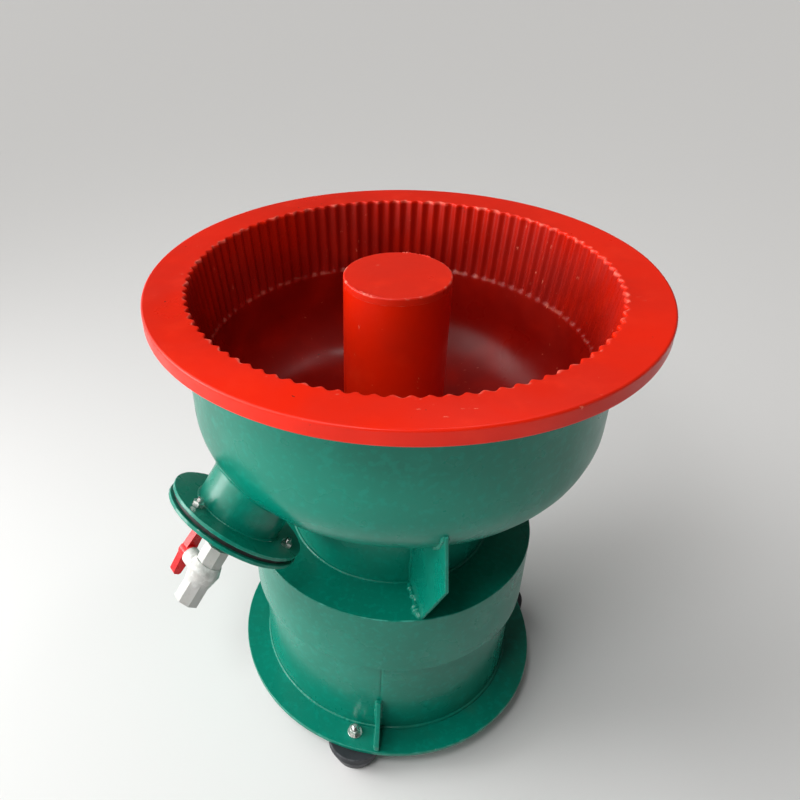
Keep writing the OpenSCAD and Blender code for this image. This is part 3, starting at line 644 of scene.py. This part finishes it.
def joined(*shapes):
    """Several shapes as one: each is a shape, or a shape and its place."""
    verts, faces, marks = [], [], []
    for item in shapes:
        shape, place = item if len(item) == 2 else (item, Matrix())
        first = len(verts)
        verts += [place @ Vector(v) for v in shape[0]]
        faces += [tuple(first + i for i in face) for face in shape[1]]
        marks += shape[2]
    return verts, faces, marks


def arc(radius, z, start=0.0, end=360.0, spacing=1.4 * MM):
    """Points round the machine's axis, from one azimuth to another."""
    count = max(8, round(abs(math.radians(end - start)) * radius / spacing))
    gaps = count if abs(end - start) >= 360 else count - 1
    return [polar(start + (end - start) * i / gaps, radius, z) for i in range(count)]


def line(a, b, spacing=1.4 * MM):
    count = max(4, round((b - a).length / spacing))
    return [a.lerp(b, i / (count - 1)) for i in range(count)]


def weld(name, path, up, width, body, seed, ripple=0.12, lumps=0.2, closed=False):
    """Weld bead under paint: ripples along its length and slow lumps, tapering off at open ends."""
    start = random.Random(seed).random() * 100
    reach = 3.2 * width

    def size(i):
        s = sum_to[i]
        wave = abs(math.sin(math.pi * s / (1.15 * width))) - 0.6
        lump = (noise.noise(Vector((start, s / (6 * width), 0)))
                + 0.5 * noise.noise(Vector((start, s / width, 3))))
        taper = 1 if closed else min(1, 0.35 + min(s, sum_to[-1] - s) / reach)
        return taper * (1 + ripple * wave + lumps * lump)

    sum_to = [0.0]
    for p, q in zip(path, path[1:]):
        sum_to.append(sum_to[-1] + (q - p).length)
    bead = sweep(path, up, width, width, 8, closed, size)
    add_piece(name, bead, "painted_green", body, sharp=80)


def ring_weld(name, radius, z, width, body, seed, ripple=0.12, lumps=0.2, spacing=2.4 * MM):
    """Weld bead all the way round the machine's axis."""
    weld(name, arc(radius, z, spacing=spacing), UP, width, body, seed, ripple, lumps, True)


def dents(amount, span, seed):
    """A warp that makes rolled sheet steel a little uneven."""
    def warp(r, z, a):
        p = Vector((r * math.cos(a), r * math.sin(a), z)) / span
        return r + amount * noise.noise(p + Vector((seed, 0, 0))), z
    return warp


# ---- bowl

def trough_profile():
    """Inner surface of the lining from the top of the post to the ledge, as (radius, height) points."""
    floor = BOWL_Z + SHELL_T + FLOOR_T
    points = [(POST_R, TOP - CAP_T), (POST_R, TOP - 60 * MM), (POST_R, floor + POST_FILLET)]
    for k in range(1, 9):
        a = math.radians(90 * k / 8)
        points.append((POST_R + POST_FILLET * (1 - math.cos(a)),
                       floor + POST_FILLET * (1 - math.sin(a))))
    for k in range(15):
        a = math.radians(90 * k / 14)
        points.append((TROUGH_R - TROUGH_CORNER * (1 - math.sin(a)),
                       floor + TROUGH_CORNER * (1 - math.cos(a))))
    return points


def fluted_rows():
    """Rows up the fluted wall and over its edge, as (radius on a crest, height, flute share, edge)."""
    lip = 2.2 * MM
    # The edge marks at the ledge make the flute ends paler: partly wear, partly a painted highlight.
    rows = [(TROUGH_R - 0.2 * MM, LEDGE_Z - 9 * MM, 0, 0),
            (TROUGH_R - 0.4 * MM, LEDGE_Z - 4.5 * MM, 0, 0),
            (TROUGH_R - 0.4 * MM, LEDGE_Z - 1.5 * MM, 0.35, 0.4),
            (TROUGH_R, LEDGE_Z + 1.5 * MM, 0.85, 0.4),
            (TROUGH_R, LEDGE_Z + 4 * MM, 1, 0)]
    for share in (0.15, 0.35, 0.6, 0.85, 0.97):
        rows.append((TROUGH_R + (MOUTH_R - TROUGH_R) * share,
                     LEDGE_Z + (TOP - lip - LEDGE_Z) * share, 1, 0))
    for k in range(4):
        a = math.radians(30 * k)
        rows.append((MOUTH_R + lip * (1 - math.cos(a)), TOP - lip * (1 - math.sin(a)), 1, 0.6))
    return rows + [(MOUTH_R + lip + 4 * MM, TOP, 0.55, 0), (MOUTH_R + lip + 9 * MM, TOP, 0, 0)]


def add_lining():
    """Bowl lining: smooth trough, flutes that run out at a ledge, wide rim, and the skin of the post."""
    edge = 3 * MM
    steps = 10 * FLUTES
    inner, floor = SHELL_R - SHELL_T, BOWL_Z + SHELL_T
    corner = SHELL_CORNER - SHELL_T
    tube_r = radius_of("post_tube")
    flutes = {}
    outline = [(r, z, 0) for r, z in trough_profile()]
    for r, z, share, mark in fluted_rows():
        flutes[round(r, 6), round(z, 6)] = share, mark
        outline.append((r, z, 0))
    rim = [(RIM_R, TOP, edge), (RIM_R, RIM_Z, edge), (inner + RIM_RING_W, RIM_Z),
           (inner + RIM_RING_W, RIM_Z + RIM_RING_T), (inner, RIM_Z + RIM_RING_T)]
    outline += rounded([(MOUTH_R + 30 * MM, TOP), *rim, (inner, RIM_Z - 9 * MM)])
    for k in range(9):
        a = math.radians(90 * k / 8)
        outline.append((inner - corner * (1 - math.cos(a)), floor + corner * (1 - math.sin(a)), 0))
    outline += [(tube_r, floor, 0), (tube_r, TOP - CAP_T, 0)]

    def flute_at(r, z):
        return flutes.get((round(r, 6), round(z, 6)), (0, 0))

    def warp(r, z, a):
        share, _ = flute_at(r, z)
        turn = FLUTES * a + 0.35 * noise.noise(Vector((3 * math.cos(a), 3 * math.sin(a), z * 4)))
        wave = 0.5 - 0.5 * math.cos(turn)
        uneven = 1 + 0.12 * noise.noise(Vector((40 * math.cos(a), 40 * math.sin(a), z * 12)))
        moved = r + FLUTE_DEPTH * share * uneven * wave ** 0.85
        if r > MOUTH_R + 8 * MM and z > RIM_Z - 1 * MM:
            ring = Vector((2.2 * math.cos(a), 2.2 * math.sin(a), r * 6))
            z += 0.7 * MM * noise.noise(ring)
            moved += 0.9 * MM * noise.noise(ring + UP * 9) * (r > RIM_R - 40 * MM)
        return moved, z

    # Painted shade: the lining is darkened inside the bowl, most at the ledge and in the trough and less up
    # the fluted wall; the rim's outer face is darker towards its bottom edge.
    def stain_and_shade(p):
        r = math.hypot(p.x, p.y)
        if r > MOUTH_R + 7 * MM:
            return 0.45 * (r > RIM_R - 4 * MM) * (p.z < RIM_Z + 1 * MM)
        painted_shade = 1 - 0.35 * max(0, min(1, (p.z - LEDGE_Z) / (110 * MM)))
        return painted_shade * (r > POST_R + 4 * MM) * (p.z < TOP - 4 * MM)

    verts, faces, _ = lathe(outline, steps, warp)
    marks = []
    for r, z, _ in outline:
        marks += [flute_at(r, z)[1]] * steps
    lining = add_piece("lining", (verts, faces, marks), "lining_red", "bowl",
                       ("bowl_lining", "trough_lining", "floor_lining", "post_sleeve"),
                       sharp=65, stain_and_shade=stain_and_shade)
    cut(lining, port_cutter())


def port_cutter():
    """The bore of the discharge pipe, carried on through the lining and the shell."""
    return rod_cutter(PORT_BORE_R, -PORT_REACH, 5 * MM, port_frame)


def add_post_cap():
    """Poured cap on the post, with torn strips of flash left on its edge."""
    def warp(r, z, a):
        return r + 0.5 * MM * noise.noise(Vector((2 * math.cos(a), 2 * math.sin(a), 0))), z

    spigot, low = radius_of("post_tube") - 4.5 * MM, TOP - CAP_T
    outline = rounded([(0, TOP), (POST_R, TOP, 2.6 * MM), (POST_R, low, 0.4 * MM), (spigot, low),
                       (spigot, TOP - 2 * CAP_T, 1 * MM), (0, TOP - 2 * CAP_T)], 4)
    add_piece("cap_on_post", lathe(outline, 192, warp), "cap_red", "bowl", ("post_cap",))
    rng = random.Random(5)
    for i, (start, end) in enumerate(((-52, -14), (140, 176), (38, 50))):
        path = arc(POST_R - 1.6 * MM, TOP - 1.1 * MM, start, end, 1 * MM)
        path = [p + UP * rng.uniform(0, 0.9) * MM + p.normalized() * rng.uniform(-0.4, 0.8) * MM
                for p in path]
        last = len(path) - 1
        sizes = [rng.uniform(0.5, 1.25) * min(1, 0.3 + min(k, last - k) / 6) for k in range(last + 1)]
        strip = sweep(path, UP, 0.9 * MM, 1.3 * MM, 6, False, lambda k: sizes[k])
        add_piece(f"cap_flash_{i + 1}", (strip[0], strip[1], [1] * len(strip[2])), "cap_red", "bowl", sharp=70)


def shell_curve(inset=0.0):
    """Half profile of the shell, this far inside its outside, from the rim down and in."""
    points = [(SHELL_R - inset, RIM_Z - drop * MM) for drop in (0, 40, 90, 130)]
    for k in range(15):
        a = math.radians(90 * k / 14)
        points.append((SHELL_R - SHELL_CORNER + (SHELL_CORNER - inset) * math.cos(a),
                       BOWL_Z + SHELL_CORNER - (SHELL_CORNER - inset) * math.sin(a)))
    return points


def add_shell():
    """Spun steel bowl with faint dents and a little dried mud at the top, opened for the discharge pipe."""
    def muddy(p):
        return (p.z > RIM_Z - 1 * MM) * (abs(math.atan2(p.x, -p.y) + 0.75) < 0.42)

    tube_r = radius_of("post_tube")
    outer = shell_curve() + [(tube_r + 20 * MM, BOWL_Z), (tube_r, BOWL_Z)]
    inner = shell_curve(SHELL_T) + [(tube_r, BOWL_Z + SHELL_T)]
    outline = [(r, z, 0) for r, z in outer + inner[::-1]]
    shell = add_piece("shell", lathe(outline, 256, dents(0.5 * MM, 60 * MM, 4)), "painted_green",
                      "bowl", ("bowl_shell",), stain_and_shade=muddy)
    cut(shell, port_cutter())
    inner_r = SHELL_R - SHELL_T
    ring = tube(inner_r + RIM_RING_W, inner_r, RIM_Z, RIM_Z + RIM_RING_T, 0.8 * MM)
    add_piece("stiffening_ring", ring, "painted_green", "bowl", ("rim_ring",))
    ring_weld("weld_rim_ring", SHELL_R, RIM_Z, 2.6 * MM, "bowl", 11)


def add_neck():
    """Neck, motor plate and skirt, with the weld rings between them."""
    neck = tube(NECK_R, NECK_R - WALL_T, NECK_Z, BOWL_Z, 0.6 * MM, 192, dents(0.5 * MM, 50 * MM, 7))
    add_piece("neck", neck, "painted_green", "bowl", ("neck_ring",))
    uneven = dents(0.5 * MM, 70 * MM, 2)
    inner_r, skirt_z = PLATE_R - WALL_T, bottom_of("skirt")
    outline = rounded([(inner_r, skirt_z, 0.8 * MM), (PLATE_R, skirt_z, 1 * MM), (PLATE_R, PLATE_Z),
                       (inner_r, PLATE_Z)])
    add_piece("skirt_shell", lathe(outline, 256, uneven), "painted_green", "bowl", ("skirt",))
    hole_r = 92 * MM
    outline = rounded([(hole_r, PLATE_Z, 0.8 * MM), (PLATE_R, PLATE_Z), (PLATE_R, NECK_Z, 1.6 * MM),
                       (hole_r, NECK_Z, 0.8 * MM)], 4)
    plate = add_piece("plate", lathe(outline, 256, uneven), "painted_green", "bowl", ("motor_plate",))
    cut(plate, *(rod_cutter(M12_HOLE_R, -5 * MM, 20 * MM, motor_bolt_place(i, PLATE_Z) @ ASKEW, 32)
                 for i in range(MOTOR_BOLTS)))
    proud = 0.6 * MM
    for i, (name, z) in enumerate((("weld_neck_plate", NECK_Z + proud), ("weld_neck_shell", BOWL_Z - proud))):
        ring_weld(name, NECK_R + proud, z, 3.4 * MM, "bowl", 1 + i, 0.05, 0.15, 1.4 * MM)
    ring_weld("weld_plate_skirt", inner_r, PLATE_Z, 3 * MM, "bowl", 3)


def motor_bolt_place(i, z):
    return standing(60 * i, MOTOR_BOLT_R, z)


def add_bowl_gussets():
    """Three plates between neck, motor plate and bowl, with lumpy weld beads along both faces."""
    softened("bowl_gussets", "painted_green", "bowl", 0.9 * MM, "neck_gussets")
    bends = [Vector((NECK_R, BOWL_Z)), Vector((SHELL_R - SHELL_CORNER, BOWL_Z))]
    end = math.acos(1 - BOWL_GUSSET_TOP / SHELL_CORNER)
    for k in range(1, 60):
        a = end * k / 59
        bends.append(Vector((SHELL_R - SHELL_CORNER + SHELL_CORNER * math.sin(a),
                             BOWL_Z + SHELL_CORNER * (1 - math.cos(a)))))
    for i in range(3):
        out = polar(BOWL_GUSSET_AZ + 120 * i, 1)
        across = out.cross(UP)
        for side in (-1, 1):
            shift = across * side * BOWL_GUSSET_T / 2
            foot_in = out * (NECK_R + 2 * MM) + UP * NECK_Z + shift
            foot_out = out * (PLATE_R - 3 * MM) + UP * NECK_Z + shift
            label = f"{i + 1}_{'left' if side < 0 else 'right'}"
            seed = 2 * i + side
            level = line(foot_in, foot_out, 0.9 * MM)
            weld(f"weld_gusset_foot_{label}", level, UP, 7 * MM, "bowl", 20 + seed, 0.15, 1.1)
            low = foot_in + UP * 2 * MM - out * 2 * MM
            high = foot_in + UP * (BOWL_Z - NECK_Z - 3 * MM) - out * 2 * MM
            weld(f"weld_gusset_neck_{label}", line(low, high), out, 2.6 * MM, "bowl", 30 + seed, 0.15, 0.3)
            path = [out * b.x + UP * b.y + shift for b in bends]
            dense = [p.lerp(q, t / 3) for p, q in zip(path[2:], path[3:]) for t in range(3)] + [path[-1]]
            weld(f"weld_gusset_shell_{label}", line(path[0], path[1])[:-1] + dense, across, 3.6 * MM,
                 "bowl", 40 + seed, 0.25, 0.6)


# ---- base

def foot_place(i, z):
    return standing(FOOT_AZ + 120 * i, FOOT_R, z)


def add_base():
    """Base flange and cylinder with its long seam, and the ring that carries the springs."""
    hole_r = 190 * MM
    ring = tube(FLANGE_R, hole_r, FOOT_H, FLANGE_Z, 1.4 * MM, 256, dents(0.6 * MM, 90 * MM, 5))
    flange = add_piece("foot_flange", ring, "painted_green", "base", ("base_flange",))
    cut(flange, *(rod_cutter(M12_HOLE_R, -40 * MM, 20 * MM, foot_place(i, FOOT_H), 32) for i in range(3)))
    inner_r, height = BASE_R - BASE_T, top_of("base_cylinder")
    seam_low = top_of("base_gussets")
    uneven = dents(0.5 * MM, 80 * MM, 9)

    def warp(r, z, a):
        off = (a - math.radians(BASE_SEAM_AZ - 90) + math.pi) % math.tau - math.pi
        depth = 1.2 * MM * (abs(off) * BASE_R < 0.9 * MM) * (r > BASE_R - 1 * MM) * (z > seam_low)
        return uneven(r, z, a)[0] - depth, z

    outline = rounded([(inner_r, FLANGE_Z), (BASE_R, FLANGE_Z), (BASE_R, height, 1 * MM),
                       (inner_r, height, 1 * MM)])
    rows = [(BASE_R, FLANGE_Z + (height - FLANGE_Z) * k / 16, 0) for k in range(1, 16)]
    cylinder = add_piece("base_drum", lathe(outline[:2] + rows + outline[2:], 720, warp),
                         "painted_green", "base", ("base_cylinder",))
    gland_z = middle_of("cable_gland").z
    gland_hole = frame_at(Vector((0, BASE_R, gland_z)), Vector((0, 1, 0)), UP)
    cut(cylinder, rod_cutter(10 * MM, -20 * MM, 20 * MM, gland_hole @ ASKEW, 48))
    shelf_r, shelf_w = radius_of("spring_ring"), 67.8 * MM
    seat = tube(shelf_r, shelf_r - shelf_w, bottom_of("spring_ring"), SEAT_Z)
    add_piece("spring_shelf", seat, "painted_green", "base", ("spring_ring",))
    ring_weld("weld_base_ring", BASE_R + 0.6 * MM, FLANGE_Z + 0.6 * MM, 3.8 * MM, "base", 4, 0.06, 0.22,
              1.4 * MM)
    ring_weld("weld_base_inside", inner_r, FLANGE_Z, 3 * MM, "base", 5)
    ring_weld("weld_spring_shelf", inner_r, SEAT_Z - 8 * MM, 3 * MM, "base", 6)


def add_base_gussets():
    """Three small gussets that stand on the base flange, with the beads that hold them."""
    softened("base_gussets", "painted_green", "base", 1.2 * MM, "drum_gussets")
    top = top_of("base_gussets")
    for i in range(3):
        out = polar(BASE_GUSSET_AZ + 120 * i, 1)
        across = out.cross(UP)
        for side in (-1, 1):
            shift = across * side * BASE_GUSSET_T / 2
            inner = out * BASE_R + UP * FLANGE_Z + shift
            label = f"{i + 1}_{'left' if side < 0 else 'right'}"
            seed = 2 * i + side
            upright = line(inner + UP * 2 * MM, inner + UP * (top - FLANGE_Z), 0.9 * MM)
            weld(f"weld_drum_gusset_{label}", upright, out, 3 * MM, "base", 60 + seed, 0.3, 0.5)
            level = line(inner, out * (FLANGE_R - 4 * MM) + UP * FLANGE_Z + shift, 0.9 * MM)
            weld(f"weld_flange_gusset_{label}", level, UP, 2.8 * MM, "base", 70 + seed, 0.3, 0.4)


def m12_nut():
    return hexagon(18 * MM, 10 * MM, M12_NUT_BORE)


def add_feet():
    """Rubber feet with their studs, washers and nuts."""
    stud_z = FOOT_H - 24 * MM
    top_r, low_r, side_z = 48.5 * MM, 36.4 * MM, 0.7 * FOOT_H
    outline = rounded([(0, stud_z), (M12_R, stud_z), (M12_R, FOOT_H), (30 * MM, FOOT_H),
                       (top_r, FOOT_H, 1.8 * MM), (top_r, side_z, 5 * MM), (low_r, 0, 2 * MM),
                       (24 * MM, 0, 1 * MM), (22 * MM, 2 * MM, 1 * MM), (0, 2 * MM)], 4)
    nut_z = FLANGE_Z + 2.5 * MM
    nut_place = raised(nut_z) @ turned(14)
    stud = threaded_rod(M12_R, stud_z, top_of("foot_studs"), M12_PITCH, 24)
    washer = tube(13 * MM, 6.3 * MM, FLANGE_Z, nut_z, 0.5 * MM, 64)
    for i in range(3):
        place = foot_place(i, 0)
        for name, node, shape, slot, at in (
                ("foot", "rubber_feet", lathe(outline, 96), "foot_rubber", place),
                ("foot_stud", "foot_studs", stud, "zinc_steel", place),
                ("foot_washer", "foot_washers", washer, "zinc_steel", place),
                ("foot_nut", "foot_nuts", m12_nut(), "zinc_steel", place @ nut_place)):
            add_piece(f"{name}_{i + 1}", shape, slot, "base", (node,) * (i == 0), at)


def spring_place(i, z):
    return standing(SPRING_AZ + 60 * i, SPRING_R, z)


def add_springs():
    """Coil springs between their seats, and the seats they stand on."""
    length = SPRING_TOP - SEAT_Z
    rows = 40 * SPRING_TURNS
    for i in range(SPRINGS):
        place = spring_place(i, SEAT_Z)
        path = []
        for k in range(rows + 1):
            t = k / rows
            a = math.tau * SPRING_TURNS * t
            z = WIRE_D / 2 + (length - WIRE_D) * (t - 0.6 * math.sin(math.tau * t) / math.tau)
            path.append(Vector((SPRING_D / 2 * math.cos(a), SPRING_D / 2 * math.sin(a), z)))
        ground = [min(1, 0.55 + min(k, rows - k) / 30) for k in range(rows + 1)]
        coil = sweep(path, UP, WIRE_D / 2, WIRE_D / 2, 12, False, lambda k: ground[k])
        spring = add_piece(f"spring_{i + 1}", coil, "spring_steel", None, ("springs",) * (i == 0), place,
                           60)
        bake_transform(spring)
    seat_r, lip = 13.5 * MM, 3 * MM
    for body, node, inner, outer in (
            ("base", "lower_spring_seats", SEAT_Z, top_of("lower_spring_seats")),
            ("bowl", "upper_spring_seats", PLATE_Z, bottom_of("upper_spring_seats"))):
        hollow = inner + (outer - inner) * 0.6
        outline = rounded([(0, inner), (seat_r, inner), (seat_r, outer, lip), (6 * MM, outer, 1 * MM),
                           (5 * MM, hollow, 1 * MM), (0, hollow)])
        for i in range(SPRINGS):
            add_piece(f"{node}_{i + 1}", lathe(outline, 64), "painted_green", body, (node,) * (i == 0),
                      spring_place(i, 0))


def add_gland():
    """Cable gland at the back of the base: body, ribbed dome nut and lock nut."""
    place = frame_at(Vector((0, BASE_R, middle_of("cable_gland").z)), Vector((0, 1, 0)), Vector((1, 0, 0)))
    bore, body_r, inside = 5.5 * MM, 10 * MM, -12 * MM
    neck = [(bore, inside, 0.5 * MM), (body_r, inside, 0.8 * MM), (body_r, 1 * MM), (bore, 1 * MM)]
    body = joined(lathe(rounded(neck), 48), hexagon(24 * MM, 6 * MM, bore))
    add_piece("gland_body", body, "black_plastic", "base", ("cable_gland",), place)

    def ribs(r, s, a):
        grip = 11 * MM < r and 7 * MM < s < 18 * MM
        return (r - 0.7 * MM * (math.cos(12 * a) < -0.3) if grip else r), s

    dome_r = 11.5 * MM
    dome = rounded([(bore, 6 * MM), (dome_r, 6 * MM, 0.6 * MM), (dome_r, 17.5 * MM, 2.5 * MM),
                    (8.5 * MM, 22 * MM, 1.5 * MM), (bore, 22 * MM, 0.6 * MM)], 4)
    rows = [(dome_r, s * MM, 0) for s in (8, 10, 12, 14)]
    cap = lathe(dome[:6] + rows + dome[6:], 192, ribs)
    add_piece("gland_cap", cap, "black_plastic", "base", ("gland_dome",), place)
    add_piece("gland_nut", hexagon(26 * MM, 5 * MM, 9.6 * MM), "black_plastic", "base",
              ("gland_locknut",), place @ raised(-10.6 * MM))


# ---- discharge port and valve

def pipe_meets_shell(angle):
    """How far up the port's axis a line on the pipe's outside reaches the shell, as a negative distance."""
    x, y = PORT_PIPE_R * math.cos(angle), PORT_PIPE_R * math.sin(angle)

    def inside(s):
        p = port_frame @ Vector((x, y, s))
        r = math.hypot(p.x, p.y)
        over = max(0, r - (SHELL_R - SHELL_CORNER))
        under = max(0, BOWL_Z + SHELL_CORNER - p.z)
        return p.z > BOWL_Z and r < SHELL_R and (under <= 0 or math.hypot(over, under) < SHELL_CORNER)

    low, high = -PORT_REACH, 0.0
    for _ in range(24):
        mid = (low + high) / 2
        low, high = (mid, high) if inside(mid) else (low, mid)
    return low


def add_port():
    """Discharge pipe, its flange, gasket and blind plate, bolts, nuts and nipple, with the weld beads."""
    steps = 128
    verts, faces, marks = [], [], []
    sections = [(PORT_PIPE_R, 0), (PORT_PIPE_R, 1), (PORT_BORE_R, 1), (PORT_BORE_R, 0)]
    for radius, end in sections:
        for k in range(steps):
            a = math.tau * k / steps
            s = 0.0 if end else pipe_meets_shell(a) - 2 * MM
            verts.append((radius * math.cos(a), radius * math.sin(a), s))
            marks.append(0)
    for ring in range(4):
        for k in range(steps):
            j, after = (k + 1) % steps, (ring + 1) % 4
            faces.append((ring * steps + k, ring * steps + j, after * steps + j, after * steps + k))
    add_piece("port_pipe", (verts, faces, marks), "painted_green", "bowl", ("discharge_pipe",), port_frame)
    turns = [math.tau * k / 400 for k in range(400)]
    sunk = 2 * MM
    bead_r = PORT_PIPE_R - sunk
    path = [port_frame @ Vector((bead_r * math.cos(a), bead_r * math.sin(a), pipe_meets_shell(a) - sunk))
            for a in turns]
    weld("weld_pipe_shell", path, port_axis, 5 * MM, "bowl", 12, 0.05, 0.2, True)
    path = [port_frame @ Vector((PORT_PIPE_R * math.cos(a), PORT_PIPE_R * math.sin(a), 0)) for a in turns]
    weld("weld_pipe_flange", path, port_axis, 3 * MM, "bowl", 13, 0.1, 0.3, True)

    def ragged(seed):
        def warp(r, s, a):
            flame = 0.6 * MM * noise.noise(Vector((14 * math.cos(a), 14 * math.sin(a), seed + s * 60)))
            return r + flame * (r > 100 * MM), s
        return warp

    bolts = [port_frame @ turned(PORT_BOLT_AZ + 120 * i) @ Matrix.Translation((PORT_BOLT_R, 0, 0))
             for i in range(3)]
    gasket_r = PORT_FLANGE_R - 6 * MM
    blind_s = PORT_FLANGE_T + GASKET_T
    end_s = blind_s + PORT_FLANGE_T
    socket_r = 16.1 * MM
    plates = (
        ("pipe_flange", "port_flange", PORT_FLANGE_R, PORT_BORE_R, 0, PORT_FLANGE_T, 1.1, "painted_green"),
        ("flange_gasket", "port_gasket", gasket_r, PORT_BORE_R, PORT_FLANGE_T, blind_s, 1, "black_rubber"),
        ("end_plate", "blind_plate", PORT_FLANGE_R, socket_r, blind_s, end_s, 1.1, "painted_green"))
    for i, (name, node, r_out, r_in, low, high, edge, slot) in enumerate(plates):
        disc = tube(r_out, r_in, low, high, edge * MM, 192, ragged(3 * i))
        plate = add_piece(name, disc, slot, "bowl", (node,), port_frame)
        cut(plate, *(rod_cutter(5.5 * MM, -5 * MM, 30 * MM, bolt, 32) for bolt in bolts))
    for i, bolt in enumerate(bolts):
        shank = threaded_rod(5 * MM, -15 * MM, end_s + 2 * MM, 1.5 * MM)
        screw = joined(shank, (hexagon(16 * MM, 6.4 * MM), raised(end_s)))
        add_piece(f"port_bolt_{i + 1}", screw, "zinc_steel", "bowl", ("port_bolts",) * (i == 0), bolt)
        add_piece(f"port_nut_{i + 1}", hexagon(16 * MM, 8 * MM, 4.6 * MM), "zinc_steel", "bowl",
                  ("port_nuts",) * (i == 0), bolt @ raised(-8 * MM) @ turned(25 + 40 * i))
    add_piece("nipple", tube(socket_r, socket_r - 3.2 * MM, blind_s, 84 * MM, 0.5 * MM, 64),
              "painted_green", "bowl", ("valve_nipple",), port_frame)


def add_valve():
    """Plastic ball valve with moulded edges. Those in its bores stay sharp."""
    def off_line(point, axis):
        arm = point - ball_centre
        return (arm - axis * arm.dot(axis)).length

    def outside(edge):
        return all(off_line(v.co, port_axis) > 17.5 * MM and off_line(v.co, stem_axis) > 10 * MM
                   for v in edge.verts)

    softened("valve_body", "white_plastic", "bowl", 0.9 * MM, "valve_housing", outside)
    softened("valve_handle", "handle_red", "valve_lever", 1.5 * MM, "valve_wing")


# ---- motor

def add_motor():
    """Motor castings and weights with broken edges, and bolts and nuts with real hexagons."""
    for node, slot, body, width, name in (
            ("motor_housing", "motor_paint", "bowl", 1.2, "motor_case"),
            ("motor_flange", "motor_paint", "bowl", 1.2, "motor_case_flange"),
            ("upper_end_bell", "motor_paint", "bowl", 1.2, "upper_bell"),
            ("lower_end_bell", "motor_paint", "bowl", 1.2, "lower_bell"),
            ("terminal_box", "motor_paint", "bowl", 1, "wiring_box"),
            ("terminal_lid", "motor_paint", "bowl", 1, "wiring_lid"),
            ("upper_weight", "cast_weight", "rotor", 1.5, "upper_eccentric"),
            ("lower_weight", "cast_weight", "lead_weight", 1.5, "lower_eccentric"),
            ("motor_shaft", "machined_steel", "rotor", 1, "shaft")):
        softened(node, slot, body, width * MM, name)
    shank = threaded_rod(M12_R, bottom_of("motor_bolts"), NECK_Z + 2 * MM, M12_PITCH)
    bolt = joined(shank, (hexagon(18 * MM, 7.5 * MM), raised(NECK_Z)))
    for i in range(MOTOR_BOLTS):
        add_piece(f"motor_bolt_{i + 1}", bolt, "zinc_steel", "bowl", ("motor_bolts",) * (i == 0),
                  motor_bolt_place(i, 0))
        add_piece(f"motor_nut_{i + 1}", m12_nut(), "zinc_steel", "bowl", ("motor_nuts",) * (i == 0),
                  motor_bolt_place(i, bottom_of("motor_nuts")))


# ---- assembly

def dress_cad_nodes():
    """Gives each CAD node that still shows the full finish of its material slot."""
    for node in frame["nodes"].values():
        for entry in node.material_slots:
            entry.material = FINISHES[entry.material.name.split(".")[0]]


add_camera()
add_floor()
add_studio()
dress_cad_nodes()
add_lining()
add_post_cap()
add_shell()
add_neck()
add_bowl_gussets()
add_base()
add_base_gussets()
add_feet()
add_springs()
add_gland()
add_port()
add_valve()
add_motor()
